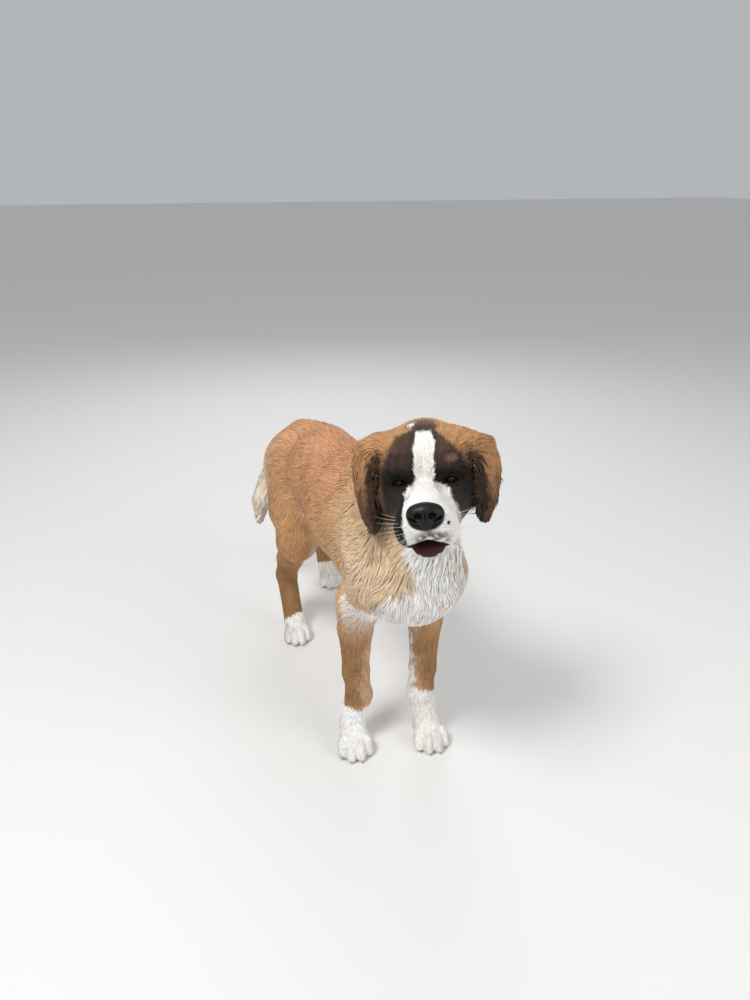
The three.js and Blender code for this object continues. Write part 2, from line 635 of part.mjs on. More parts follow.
// Trunk: tail, hindquarters, torso and neck
const aroundTail = by => beyond(tailCut[0], tailCut[1], gap / 2 - by)
  .intersect(ballAlong([-20, 716, 520], [-130, 740, 200], [74, 74], 40, by));
nodes.tail = largest(trunk.intersect(aroundTail(0)));
trunk = largest(trunk.subtract(aroundTail(gap)));
nodes.hindquarters = largest(trunk.intersect(beyond(...loinPlane)));
nodes.neck = largest(trunk.intersect(beyond(...neckPlane)));
nodes.torso = largest(trunk.intersect(behind(...loinPlane)).intersect(behind(...neckPlane)));

// Head, with the eyes, nose, lower jaw, tongue and ears let into it
const headBox = (f, low, high, cell, triangles) => {
  const box = new THREE.Box3();
  for (const x of [low[0], high[0]])
    for (const y of [low[1], high[1]])
      for (const z of [low[2], high[2]]) box.expandByPoint(new THREE.Vector3(...fromHead([x, y, z])));
  box.expandByScalar(cell + 6);
  return solidOf(thinned(netOf(f, box.min.toArray(), box.max.toArray(), cell), triangles));
};
const tongueBox = [[-18, -76, -106], [18, 16, -54]];
const jawBox = [[-50, -84, -130], [50, 44, -52]];
const noseBox = [[-36, -120, -62], [36, -78, 0]];
nodes.tongue = headBox(tongue, ...tongueBox, 3, 130);
const tongueRoom = inflated(nodes.tongue, 0.8);
nodes.nose = headBox(nose, ...noseBox, 3.6, 290);
const noseRoom = headBox(grown(inHead(blended(noseShapes)), 0.8), ...noseBox, 4, 220);
const jawSolid = headBox(jaw, ...jawBox, 5, 340);
const lowerTeeth = [-13.5, -9.5, -5.8, -2, 2, 5.8, 9.5, 13.5].map(x => {
  const canine = Math.abs(x) > 12;
  const y = canine ? -69 : -74 + x * x * 0.03;
  return spike(fromHead([x, y, -107]), fromHead([x * 1.05, y - 2, canine ? -86 : -95]), canine ? 4 : 2.6);
});
nodes.jaw_lower = rounded(lowerTeeth.reduce((sum, tooth) => sum.add(tooth), jawSolid)
  .subtract(tongueRoom));
let head = headMesh.intersect(beyond(...headPlane));
for (const room of [inflated(jawSolid), noseRoom, tongueRoom]) head = head.subtract(room);
nodes.neck = largest(nodes.neck.subtract(inflated(jawSolid)));
for (const [sideName, side] of Object.entries(sides)) {
  nodes['eye_' + sideName] = ball(eyeAt(side), eyeRadius);
  head = head.subtract(ball(eyeAt(side), eyeRadius + gap)).subtract(lidOpening(side));
}
nodes.head = largest(head);
for (const [sideName, side] of Object.entries(sides)) {
  const ear = headBox(earField(side), [side * 50, -10, -100], [side * 130, 110, 90], 6, 320);
  nodes['ear_' + sideName] = largest(ear.subtract(inflated(nodes.head)));
}

// Hair. A lock is a flat blade with a ridge along its back: it leaves its root inside the flesh,
// rises through the coat, bends to the coat's lie and tapers to a point
let seed = 11;
function random(low = 0, high = 1) {
  seed = (seed + 0x6d2b79f5) | 0;
  let t = Math.imul(seed ^ (seed >>> 15), 1 | seed);
  t = (t + Math.imul(t ^ (t >>> 7), 61 | t)) ^ t;
  return low + (high - low) * (((t ^ (t >>> 14)) >>> 0) / 4294967296);
}

function slopeOf(f, p) {
  const e = 0.5;
  const slope = [0, 1, 2].map(i => {
    const [a, b] = [[...p], [...p]];
    a[i] += e;
    b[i] -= e;
    return f(...a) - f(...b);
  });
  return new THREE.Vector3(...slope).normalize();
}

// Moves a point along the slope towards the given height above the flesh
function atHeight(f, p, height, share = 1) {
  for (let i = 0; i < 5; i++)
    p.addScaledVector(slopeOf(f, p.toArray()), (height - f(...p.toArray())) * share * 0.9);
  return p;
}

function lockAlong(f, path, widths, thicks) {
  const points = [];
  for (let i = 0; i < 3; i++) {
    const along = path[i + 1].clone().sub(path[Math.max(0, i - 1)]).normalize();
    const across = new THREE.Vector3().crossVectors(slopeOf(f, path[i].toArray()), along).normalize();
    const out = new THREE.Vector3().crossVectors(along, across).normalize();
    for (const [a, b] of [[1, -0.4], [0, 0.6], [-1, -0.4]])
      points.push(...path[i].clone().addScaledVector(across, a * widths[i] / 2)
        .addScaledVector(out, b * thicks[i]).toArray());
  }
  points.push(...path[3].toArray());
  const faces = [0, 2, 1];
  for (let ring = 0; ring < 2; ring++)
    for (let k = 0; k < 3; k++) {
      const [a, b] = [ring * 3 + k, ring * 3 + (k + 1) % 3];
      faces.push(a, b, b + 3, a, b + 3, a + 3);
    }
  for (let k = 0; k < 3; k++) faces.push(6 + k, 6 + (k + 1) % 3, 9);
  const solid = solidOf(geometryOf(points, faces));
  return solid.volume() > 0 ? solid : solidOf(geometryOf(points, faces.reverse()));
}

function lock(f, near, lie, { length, width = 28, thick = 9, lift = 9, follow = 1, root = 8 }) {
  const start = atHeight(f, new THREE.Vector3(...near), 0);
  const n = slopeOf(f, start.toArray());
  const d = new THREE.Vector3(...lie).normalize();
  d.addScaledVector(n, -n.dot(d) * 0.85).normalize();
  const sideways = new THREE.Vector3().crossVectors(n, d).normalize();
  const reach = length * random(0.86, 1.12);
  const bend = reach * random(-0.16, 0.16);
  const heights = [-root, lift * 0.5, lift, lift * random(0.8, 1.4)];
  const path = [0, 0.32, 0.68, 1].map((t, i) => {
    const p = start.clone().addScaledVector(d, reach * t).addScaledVector(sideways, bend * t * t);
    if (i === 0) return p.addScaledVector(n, -root);
    return atHeight(f, p, heights[i], follow);
  });
  const widths = [0.8, 1, 0.66].map(v => v * width * random(0.9, 1.1));
  const thicks = [0.9, 1, 0.7].map(v => v * thick);
  return lockAlong(f, path, widths, thicks);
}

const hairs = [];
const growLock = (f, near, lie, size) => hairs.push(lock(f, near, lie, size));
const around = degrees => [Math.sin(THREE.MathUtils.degToRad(degrees)), Math.cos(THREE.MathUtils.degToRad(degrees))];
const along = (joint, t) => {
  const [a, b] = [joint[Math.floor(t)], joint[Math.floor(t) + 1]];
  return [0, 1, 2].map(i => mix(a[i], b[i], t % 1));
};
const headWay = v => {
  const [a, b] = [fromHead(v), fromHead([0, 0, 0])];
  return a.map((value, i) => value - b[i]);
};

// Tail: rings of locks that hang along it from the root to past its tip
for (let row = 0; row < 5; row++) {
  const t = 0.5 + row * 0.98;
  const [at, next] = [along(tailJoints, t), along(tailJoints, Math.min(t + 0.3, 4.99))];
  const down = new THREE.Vector3(...next.map((v, i) => v - at[i])).normalize();
  const side = new THREE.Vector3().crossVectors(down, new THREE.Vector3(0, 1, 0)).normalize();
  const back = new THREE.Vector3().crossVectors(side, down).normalize();
  for (let k = 0; k < 4; k++) {
    const [s, c] = around(90 * k + 45 * (row % 2) + random(-12, 12));
    const out = side.clone().multiplyScalar(s).addScaledVector(back, c);
    growLock(whole, at.map((v, i) => v + out.getComponent(i) * 34),
      down.clone().addScaledVector(out, 0.16).toArray(),
      { length: row === 4 ? 70 : 98, width: 36, follow: 0.3 });
  }
}

for (const side of [1, -1]) {
  // Breeches down the back of the thigh
  for (let row = 0; row < 4; row++)
    for (const across of [30, 76])
      growLock(whole, [side * (across - 3 * row), 700 - 26 * row, 484 - 42 * row],
        [side * 0.06, 0.28, -1], { length: 88, width: 36, follow: 0.4 });
  // Fringe under the belly and behind the elbow
  for (const y of [80, 160, 240, 320])
    growLock(whole, [side * 36, y, 320], [0, 0.9, -0.45], { length: 92, width: 30, follow: 0.6 });
  // Cheeks, behind the corner of the mouth
  for (const at of [[92, 70, -14], [84, 56, -50], [66, 40, -84]])
    growLock(whole, fromHead([side * at[0], at[1], at[2]]), headWay([side * 0.1, 0.8, -0.8]),
      { length: 52, width: 24, thick: 7, lift: 7, follow: 0.6 });
  // Ears: long hair down the back edge and off the tip, and over the outside
  for (const at of [[128, 86, 30], [130, 84, -6], [124, 78, -40], [112, 62, -72], [98, 34, -96]])
    growLock(earField(side), fromHead([side * at[0], at[1], at[2]]),
      headWay([side * 0.05, 0.2, -1]),
      { length: 44, width: 22, thick: 6, lift: 4, follow: 0.3, root: 4 });
  for (const at of [[124, 34, 30], [126, 46, -2], [122, 24, -30], [116, 36, -62]])
    growLock(earField(side), fromHead([side * at[0], at[1], at[2]]), headWay([side * 0.05, 0.1, -1]),
      { length: 52, width: 26, thick: 6, lift: 5, follow: 0.8, root: 4 });
}

// Feathers behind the forelegs and over the hocks
for (const name of ['foreLeft', 'foreRight'])
  for (const t of [0.4, 1.1, 1.75]) {
    const at = along(joints[name], t);
    growLock(whole, [at[0], at[1] + 50, at[2]], [0, 0.35, -1],
      { length: 74, width: 24, thick: 7, lift: 6, follow: 0.6 });
  }
for (const name of ['hindLeft', 'hindRight'])
  for (const t of [1.2, 1.7, 2.2]) {
    const at = along(joints[name], t);
    growLock(whole, [at[0], at[1] + 44, at[2] + 26], [0, 0.4, -1],
      { length: 70, width: 24, thick: 7, lift: 6, follow: 0.6 });
  }

// Ruff round the neck, the front of the chest and the tuft between the forelegs
for (const [level, count, spread] of [[0.8, 7, 128], [0.3, 8, 132]])
  for (let k = 0; k < count; k++) {
    const [s, c] = around(mix(-spread, spread, k / (count - 1)));
    const at = [0, 1, 2].map(i => mix([0, -40, 500][i], (nape[i] + throat[i]) / 2, level));
    growLock(whole, [at[0] + s * 130, at[1] - c * 130, at[2] + 10], [s * 0.2, 0.5 - 0.6 * c, -1],
      { length: 84, width: 36 });
  }
for (const [z, count, wide] of [[456, 4, 62], [402, 5, 72]])
  for (let k = 0; k < count; k++) {
    const x = mix(-wide, wide, k / (count - 1));
    growLock(whole, [x, -180 + Math.abs(x) * 0.5, z], [x * 0.002, 0.16, -1],
      { length: 78, width: 34, follow: 0.7 });
  }
for (const [x, y] of [[-24, -66], [24, -66], [0, -28], [-26, 12], [26, 12]])
  growLock(whole, [x, y, 320], [x * 0.004, 0.5, -1], { length: 58, width: 26, lift: 12, follow: 0.2 });

// Each lock is fused to the node that holds most of its root, cut clear of every other node first
const boxesMeet = (a, b) => {
  const [p, q] = [a.boundingBox(), b.boundingBox()];
  return [0, 1, 2].every(i => p.min[i] < q.max[i] && q.min[i] < p.max[i]);
};
const sharedVolume = (a, b) => (boxesMeet(a, b) ? a.intersect(b).volume() : 0);
const nudges = [[gap, 0, 0], [-gap, 0, 0], [0, gap, 0], [0, -gap, 0], [0, 0, gap], [0, 0, -gap]];
function cutClear(hair, solid) {
  if (!boxesMeet(hair, solid)) return hair;
  const b = hair.boundingBox();
  const [size, at] = [b.max.map((v, i) => v - b.min[i] + 4), b.max.map((v, i) => (v + b.min[i]) / 2)];
  const near = solid.intersect(block(size, at));
  if (near.numTri() === 0) return hair;
  const nudged = nudges.map(v => solidOf(surfaceOf(near).translate(...v)));
  return nudged.reduce((left, other) => (sharedVolume(left, other) > 0.001 ? left.subtract(other) : left),
    hair.subtract(inflated(near)));
}
const raggedTriangles = 90;           // a lock that the cuts leave rougher than this is left out
const owned = {};
for (const hair of hairs) {
  const shares = Object.entries(nodes).map(([name, solid]) => [name, sharedVolume(hair, solid)]);
  const [owner, most] = shares.reduce((a, b) => (b[1] > a[1] ? b : a));
  if (most < 1) continue;
  let clear = hair;
  for (const [name, solid] of Object.entries(nodes))
    if (name !== owner)
      for (const other of [solid, ...(owned[name] ?? [])]) clear = cutClear(clear, other);
  if (clear.numTri() > raggedTriangles) continue;
  (owned[owner] ??= []).push(clear);
}
for (const [name, list] of Object.entries(owned))
  nodes[name] = rounded(list.reduce((sum, hair) => sum.add(hair), nodes[name]));

// The part: each node a mesh in its colour
const coats = {
  head: 0x6b4a38, neck: 0xc79a6b, torso: 0xb98455, hindquarters: 0xb07b4c, tail: 0xd9c4a4,
  shoulder: 0xb98455, foreleg: 0xb28157, forepaw: 0xe9e4da, thigh: 0xb98a5c, hindleg: 0xb28157,
  hindpaw: 0xe9e4da, ear: 0x8a5a36, eye: 0x2a1a10, nose: 0x1c1a1b, jaw: 0xe4dcd2, tongue: 0xc97f86,
};
const model = new THREE.Group();
for (const [name, solid] of Object.entries(nodes)) {
  const smooth = name.startsWith('eye') || name === 'nose';
  const mesh = new THREE.Mesh(surfaceOf(solid), new THREE.MeshStandardMaterial({
    color: coats[name.split('_')[0]], roughness: smooth ? 0.3 : 0.9, metalness: 0 }));
  mesh.name = name;
  model.add(mesh);
}
const extent = new THREE.Box3().setFromObject(model);
const middle = extent.getCenter(new THREE.Vector3());
model.position.set(-middle.x, -middle.y, -extent.min.z);
model.userData.shift = model.position.toArray();
export default model;
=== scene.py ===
import bmesh
import bpy
import numpy as np
from mathutils import Matrix, Vector


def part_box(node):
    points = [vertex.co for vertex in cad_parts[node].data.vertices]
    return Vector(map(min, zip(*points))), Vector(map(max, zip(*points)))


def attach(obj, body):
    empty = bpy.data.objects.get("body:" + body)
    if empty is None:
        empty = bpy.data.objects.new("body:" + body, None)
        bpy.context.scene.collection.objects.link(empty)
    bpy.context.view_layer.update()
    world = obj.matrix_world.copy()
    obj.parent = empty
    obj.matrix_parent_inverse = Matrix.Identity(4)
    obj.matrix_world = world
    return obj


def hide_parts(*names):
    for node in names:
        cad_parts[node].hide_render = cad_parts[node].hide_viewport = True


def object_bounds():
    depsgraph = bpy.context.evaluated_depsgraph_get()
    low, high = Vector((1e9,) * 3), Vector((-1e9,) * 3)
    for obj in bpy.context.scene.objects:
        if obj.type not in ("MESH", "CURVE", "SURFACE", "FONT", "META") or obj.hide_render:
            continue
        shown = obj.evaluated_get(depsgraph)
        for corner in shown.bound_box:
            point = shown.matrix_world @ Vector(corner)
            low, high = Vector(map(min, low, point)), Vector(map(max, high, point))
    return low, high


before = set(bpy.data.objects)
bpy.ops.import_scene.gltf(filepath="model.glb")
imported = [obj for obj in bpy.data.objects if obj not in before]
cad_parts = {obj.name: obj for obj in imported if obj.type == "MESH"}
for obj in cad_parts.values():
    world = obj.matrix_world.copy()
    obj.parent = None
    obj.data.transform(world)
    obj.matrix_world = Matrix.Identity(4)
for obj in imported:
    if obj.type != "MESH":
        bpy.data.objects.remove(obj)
cad_low, cad_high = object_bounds()

# Room. The photograph looks down on the dog from a standing person's height with a wide lens, from
# the dog's front right. The dog's own frame is in millimetres, faces -Y and has the floor at zero.
BETWEEN_EYES = np.array((-26.0, -167.0, 690.0))
HEAD_TURN = (-6.0, -6.0, -26.0)
EYE_SPREAD = 42.0
EYE_DEPTH = 2.0


def turn_matrix(degrees):
    """A turn about X, then Y, then Z"""
    rx, ry, rz = np.radians(degrees)
    about_x = np.array(((1, 0, 0), (0, np.cos(rx), -np.sin(rx)), (0, np.sin(rx), np.cos(rx))))
    about_y = np.array(((np.cos(ry), 0, np.sin(ry)), (0, 1, 0), (-np.sin(ry), 0, np.cos(ry))))
    about_z = np.array(((np.cos(rz), -np.sin(rz), 0), (np.sin(rz), np.cos(rz), 0), (0, 0, 1)))
    return about_z @ about_y @ about_x


HEAD_AXES = turn_matrix(HEAD_TURN)


def to_head(p):
    """Points in the head's own frame: zero between the eyes, nose toward -Y"""
    return (p - BETWEEN_EYES) @ HEAD_AXES


def from_head(q):
    """Points of the head's frame, back in the dog's"""
    return BETWEEN_EYES + np.array(q, float) @ HEAD_AXES.T


eye_low, eye_high = (np.array(corner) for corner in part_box("eye_left"))
MODEL_SHIFT = (eye_low + eye_high) / 2 - from_head((EYE_SPREAD, EYE_DEPTH, 0)) / 1000


def placed(p):
    """Points of the dog's frame, in millimetres, as metres in the model's frame"""
    return np.asarray(p) / 1000 + MODEL_SHIFT


CAMERA_AT = (-535.8, -1212.7, 1150.0)
CAMERA_HEADING = np.radians(21.9)
CAMERA_PITCH = np.radians(23.2)
LENS = 27
FILM_WIDTH = 36
camera_data = bpy.data.cameras.new("Camera")
camera_data.lens = LENS
camera_data.sensor_width = FILM_WIDTH
camera_data.clip_start = 0.05
camera = bpy.data.objects.new("Camera", camera_data)
level = Vector((np.sin(CAMERA_HEADING), np.cos(CAMERA_HEADING), 0))
right = Vector((np.cos(CAMERA_HEADING), -np.sin(CAMERA_HEADING), 0))
ahead = level * np.cos(CAMERA_PITCH) - Vector((0, 0, np.sin(CAMERA_PITCH)))
above = right.cross(ahead)
turned = Matrix((right, above, -ahead)).transposed().to_4x4()
camera.matrix_world = Matrix.Translation(Vector(placed(CAMERA_AT))) @ turned
bpy.context.collection.objects.link(camera)
bpy.context.scene.camera = camera
bpy.context.scene.view_settings.view_transform = "Standard"


def lamp(name, size, power, at, target):
    """A round soft lamp, its size and place in metres"""
    data = bpy.data.lights.new(name, "AREA")
    data.shape = "DISK"
    data.size = size
    data.energy = power
    lit = bpy.data.objects.new(name, data)
    lit.location = at
    lit.rotation_euler = (Vector(target) - Vector(at)).to_track_quat("-Z", "Y").to_euler()
    bpy.context.collection.objects.link(lit)


lamp("KeyLight", 1.1, 70, (-1.7, -1.0, 3.1), (0, 0, 0.4))
lamp("FillLight", 2.2, 28, (1.5, -2.5, 1.9), (0, -0.1, 0.4))
lamp("BackLight", 1.8, 25, (0.8, 2.6, 2.4), (0, 0.1, 0.4))
world = bpy.data.worlds.new("Room")
world.use_nodes = True
background = world.node_tree.nodes["Background"].inputs
background["Color"].default_value = (0.9, 0.93, 0.97, 1)
background["Strength"].default_value = 0.5
bpy.context.scene.world = world


class Tone:
    """A shader value: sums, differences and products of tones add Math nodes"""

    def __init__(self, finish, socket):
        self.finish = finish
        self.socket = socket

    def worked(self, operation, first, second):
        return self.finish.node("Math", {"operation": operation}, {0: first, 1: second}, "Value")

    def __add__(self, other):
        return self.worked("ADD", self, other)

    def __sub__(self, other):
        return self.worked("SUBTRACT", self, other)

    def __rsub__(self, other):
        return self.worked("SUBTRACT", other, self)

    def __mul__(self, other):
        return self.worked("MULTIPLY", self, other)

    __radd__ = __add__
    __rmul__ = __mul__


class Finish:
    """A material, built node by node around one Principled shader"""

    def __init__(self, name, **constants):
        self.material = bpy.data.materials.new(name)
        self.material.use_nodes = True
        self.tree = self.material.node_tree
        self.shader = self.tree.nodes["Principled BSDF"]
        for socket, value in constants.items():
            self.shader.inputs[socket.replace("_", " ")].default_value = value

    def node(self, kind, settings, values, output):
        """Any node: its type, its settings, what its sockets take, and the output that is read"""
        made = self.tree.nodes.new("ShaderNode" + kind)
        for name, value in settings.items():
            if name == "stops":
                for stop, (place, colour) in zip(made.color_ramp.elements, value):
                    stop.position = place
                    stop.color = (*colour, 1)
            else:
                setattr(made, name, value)
        for socket, value in values.items():
            self.feed(made.inputs[socket], value)
        return Tone(self, made.outputs[output])

    def feed(self, socket, value):
        if isinstance(value, Tone):
            self.tree.links.new(value.socket, socket)
        else:
            socket.default_value = value

    def shows(self, socket, value):
        self.feed(self.shader.inputs[socket], value)

    def marking(self):
        """The colours stored on the mesh"""
        return self.node("Attribute", {"attribute_name": "Marking"}, {}, "Color")

    def shows_marking(self, shade):
        """The stored colours, made lighter and darker by a shade"""
        grey = self.node("CombineColor", {}, {"Red": shade, "Green": shade, "Blue": shade}, "Color")
        self.shows("Base Color", self.node("Mix", {"data_type": "RGBA", "blend_type": "MULTIPLY"},
                                           {0: 1.0, 6: self.marking(), 7: grey}, 2))

    def shows_between(self, share, low, high):
        """Runs from one colour to another, each given with the share where it ends"""
        stops = [(place, paint(code)) for place, code in (low, high)]
        self.shows("Base Color", self.node("ValToRGB", {"stops": stops}, {"Fac": share}, "Color"))

    def raised_by(self, height, strength, distance):
        values = {"Strength": strength, "Distance": distance, "Height": height}
        self.shows("Normal", self.node("Bump", {}, values, "Normal"))

    def object_place(self):
        return self.node("TexCoord", {}, {}, "Object")

    def noise(self, **values):
        return self.node("TexNoise", {}, values, "Fac")


def paint(code):
    """A hex colour as the linear light that a shader takes"""
    shares = np.array([int(code[i:i + 2], 16) for i in (0, 2, 4)]) / 255
    return np.where(shares <= 0.04045, shares / 12.92, ((shares + 0.055) / 1.055) ** 2.4)


FLOOR_REACH = 40.0
floor_mesh = bpy.data.meshes.new("Floor")
floor_corners = [(x * FLOOR_REACH, y * FLOOR_REACH, 0) for x, y in ((-1, -1), (1, -1), (1, 1), (-1, 1))]
floor_mesh.from_pydata(floor_corners, [], [(0, 1, 2, 3)])
floor = bpy.data.objects.new("Floor", floor_mesh)
floor_finish = Finish("PaleFloor", Roughness=0.8)
floor_finish.shows("Base Color", (0.8, 0.79, 0.77, 1))
floor_mesh.materials.append(floor_finish.material)
bpy.context.collection.objects.link(floor)

# Flesh. Every form of the body is a distance in millimetres, below zero inside, and forms melt
# together over a blend width as muscle does under skin. The outline is where the short coat ends.
# Each foot has its place on the floor and the degrees that it turns out.
FEET = {
    "fore_right": (-90, 22, -14),
    "fore_left": (70, -16, -8),
    "hind_right": (-84, 488, -10),
    "hind_left": (96, 742, -6),
}
PAW_SIZE = {"fore": 0.92, "hind": 0.82}
TOES = ((-28, -20), (-10.5, -35), (10.5, -35), (28, -20))
TOE_SPREAD = 0.4
FAR = 1000.0


def mix(a, b, t):
    """From a to b by the share t"""
    return a + (b - a) * t


def smooth(low, high, v):
    """A share that eases from 0 at low to 1 at high"""
    t = np.clip((v - low) / (high - low), 0, 1)
    return t * t * (3 - 2 * t)


def join(a, b, k):
    """Two forms melted together over the width k"""
    h = np.maximum(k - np.abs(a - b), 0) / k
    return np.minimum(a, b) - h * h * k / 4


def cut(a, b, k):
    """Form b carved out of form a"""
    return -join(-a, b, k)


def limb(a, ra, b, rb, blend=30):
    """A round bar from a to b whose radius runs from ra to rb"""
    a, b = np.array(a, float), np.array(b, float)
    along = b - a

    def at(p):
        t = np.clip((p - a) @ along / (along @ along), 0, 1)
        away = p - a - t[:, None] * along
        return np.sqrt((away * away).sum(1)) - ra - (rb - ra) * t

    return at, blend


def lump(centre, radii, blend=25, turn=(0, 0, 0)):
    """An egg of three radii"""
    centre, radii = np.array(centre, float), np.array(radii, float)
    turned = turn_matrix(turn) / radii

    def at(p):
        q = (p - centre) @ turned
        k0 = np.sqrt((q * q).sum(1))
        q /= radii
        return k0 * (k0 - 1) / np.maximum(np.sqrt((q * q).sum(1)), 1e-9)

    return at, blend


def blended(shapes):
    """One form out of many"""
    def at(p):
        d = np.full(len(p), FAR)
        for shape, blend in shapes:
            d = join(d, shape(p), blend)
        return d

    return at


def chain(joints, blend, bend=8):
    """Bars from joint to joint, each joint a place and a radius"""
    links = [limb(a[:3], a[3], b[:3], b[3], bend) for a, b in zip(joints, joints[1:])]
    return blended(links), blend


def flipped(v):
    return (-v[0], *v[1:])


def both_lumps(centre, radii, blend, turn=(0, 0, 0)):
    rx, ry, rz = turn
    return [lump(centre, radii, blend, turn), lump(flipped(centre), radii, blend, (rx, -ry, -rz))]


def both_chains(joints, blend, bend=8):
    return [chain(joints, blend, bend), chain([flipped(j) for j in joints], blend, bend)]


trunk = [
    chain([(0, -20, 478, 98), (0, 100, 474, 106), (0, 220, 474, 108), (0, 420, 492, 92),
           (0, 590, 484, 88)], 50, 40),
    chain([(0, 14, 538, 54), (0, 120, 546, 46), (0, 240, 530, 46)], 60, 30),
    chain([(0, -64, 440, 68), (0, 70, 414, 66), (0, 240, 426, 66), (0, 400, 456, 58)], 50, 30),
    lump((0, -94, 448), (66, 52, 74), 50),
    *both_chains([(50, 24, 530, 46), (64, -58, 436, 48), (74, 22, 358, 40)], 45, 12),
    *both_chains([(38, 640, 452, 46), (46, 560, 482, 62)], 45),
]
nape = from_head((0, 92, -2))
throat = from_head((0, 46, -66))
neck = [limb((0, -14, 530), 84, nape, 74, 60), limb((0, -72, 470), 76, throat, 54, 60)]


def fore_joints(x, y, side):
    return [
        (side * 78, mix(18, y, 0.25), 360, 42),
        (mix(side * 76, x, 0.15), mix(30, y + 22, 0.4), 290, 36),
        (mix(side * 64, x, 0.4), y + 24, 175, 28),
        (mix(side * 52, x, 0.45), y + 20, 116, 28),
        (x, y + 14, 55, 27),
    ]


def hind_joints(x, y, side):
    knee_y = mix(430, y - 66, 0.45)
    return [
        (side * 54, 566, 466, 66),
        (side * 86, knee_y, 318, 47),
        (mix(side * 90, x, 0.5), mix(knee_y, y + 78, 0.55), mix(318, 150, 0.52), 34),
        (x, y + 76, 150, 27),
        (x, y + 22, 45, 26),
    ]


def leg(name):
    """A leg's joints and forms"""
    x, y = FEET[name][:2]
    side = 1 if name.endswith("left") else -1
    if name.startswith("fore"):
        joints = fore_joints(x, y, side)
        return joints, [chain(joints, 30, 12)]
    joints = hind_joints(x, y, side)
    hip, knee, shin, hock, foot = joints
    return joints, [
        chain([hip, knee], 45),
        chain([knee, shin, hock, foot], 30, 12),
        lump((hock[0], hock[1] + 12, 164), (14, 19, 26), 14, (-20, 0, 0)),
        limb((side * 48, 636, 440), 50, (side * 82, mix(hip[1], knee[1], 0.35), 360), 46, 45),
    ]


def in_paw(name, dx, dy, z):
    """A point given from the paw's centre, ahead of it where dy is below zero"""
    x, y, toe_out = FEET[name]
    return np.array((x, y, 0)) + turn_matrix((0, 0, toe_out)) @ (dx * PAW_SIZE[name[:4]], dy, z)


def paw(name):
    toe_out, size = FEET[name][2], PAW_SIZE[name[:4]]
    shapes = [lump(in_paw(name, 0, 8, 27), (33 * size, 42, 30), 16, (0, 0, toe_out))]
    for dx, dy in TOES:
        spread = toe_out + dx * TOE_SPREAD
        shapes.append(lump(in_paw(name, dx, dy, 22), (14.5 * size, 24, 20), 7, (12, 0, spread)))
        shapes.append(lump(in_paw(name, dx * 1.1, dy - 15, 11), (11.5 * size, 13, 13), 6, (0, 0, spread)))
    return shapes


TAIL_JOINTS = [
    (0, 650, 520, 34), (-10, 702, 488, 33), (-42, 734, 424, 33),
    (-76, 742, 356, 31), (-102, 738, 300, 25), (-112, 730, 254, 13),
]
head = [
    lump((0, 60, 20), (76, 88, 66), 30),
    lump((0, 10, 30), (58, 42, 46), 30),
    lump((0, 120, 22), (44, 44, 44), 30),
    *both_lumps((34, -8, 21), (23, 17, 13), 14),
    *both_lumps((62, 50, 50), (30, 34, 24), 22, (0, 20, 0)),
    *both_lumps((48, 34, -28), (32, 56, 46), 30),
    *both_lumps((36, -4, -28), (24, 26, 22), 20),
    limb((0, 4, -22), 36, (0, -72, -30), 33, 22),
    *both_lumps((25, -46, -60), (23, 46, 36), 18, (0, 0, 6)),
    *both_lumps((17, -82, -52), (24, 24, 26), 14),
    *both_lumps((31, -56, -64), (21, 34, 27), 14, (0, 0, 4)),
    *both_lumps((EYE_SPREAD, 3, 0), (16.5, 16.5, 16), 8),
]
head_at = blended(head)
mouth_at = blended([
    lump((0, -46, -90), (22, 66, 13), 20, (24, 0, 0)),
    lump((0, -88, -98), (30, 30, 17), 12, (24, 0, 0)),
])
jaw_at = blended([
    limb((25, 16, -76), 21, (11, -50, -106), 15, 16),
    limb((-25, 16, -76), 21, (-11, -50, -106), 15, 16),
    lump((0, -62, -107), (22, 19, 15), 12),
    limb((0, 10, -84), 18, (0, -40, -108), 12, 12),
])


def lifted(q, rise):
    """Points moved along Z, each by its own amount"""
    q = q.copy()
    q[:, 2] += rise
    return q


ear_flap = blended([
    lump((78, 52, 58), (22, 30, 17), 20, (0, 20, -20)),
    lump((98, 50, 36), (10, 42, 30), 22, (0, 24, -32)),
    lump((107, 48, -4), (8, 46, 40), 22, (0, 2, -32)),
    lump((102, 40, -46), (7.5, 36, 34), 22, (0, -12, -30)),
    lump((94, 32, -78), (7, 22, 24), 18, (0, -16, -28)),
])
ear_cup = lump((86, 52, -12), (11, 38, 52), 10, (0, 0, -32))[0]
LEFT_EAR_DROP = 9.0
LID_RADIUS = 14.6
socket = lump((EYE_SPREAD + 1, -36, -2), (21, 23, 15))[0]
lower_lid = lump((EYE_SPREAD, -16, -3.0), (14.5, 22, 9.2), turn=(0, 8, 0))[0]
upper_lid = lump((EYE_SPREAD, -16, 3.4), (14.5, 22, 9.0), turn=(0, 8, 0))[0]


def one_sided(q):
    return np.stack([np.abs(q[:, 0]), q[:, 1], q[:, 2]], 1)


def between_lids(q):
    """How far a point is from the almond opening between the lids"""
    half = one_sided(q)
    return np.maximum(lower_lid(half), upper_lid(half))


def ear_at(q, lower=0):
    drop = lower * (smooth(-10, 60, q[:, 2]) - smooth(-20, -80, q[:, 2]))
    q = lifted(q, drop)
    return cut(ear_flap(q), ear_cup(q), 4)


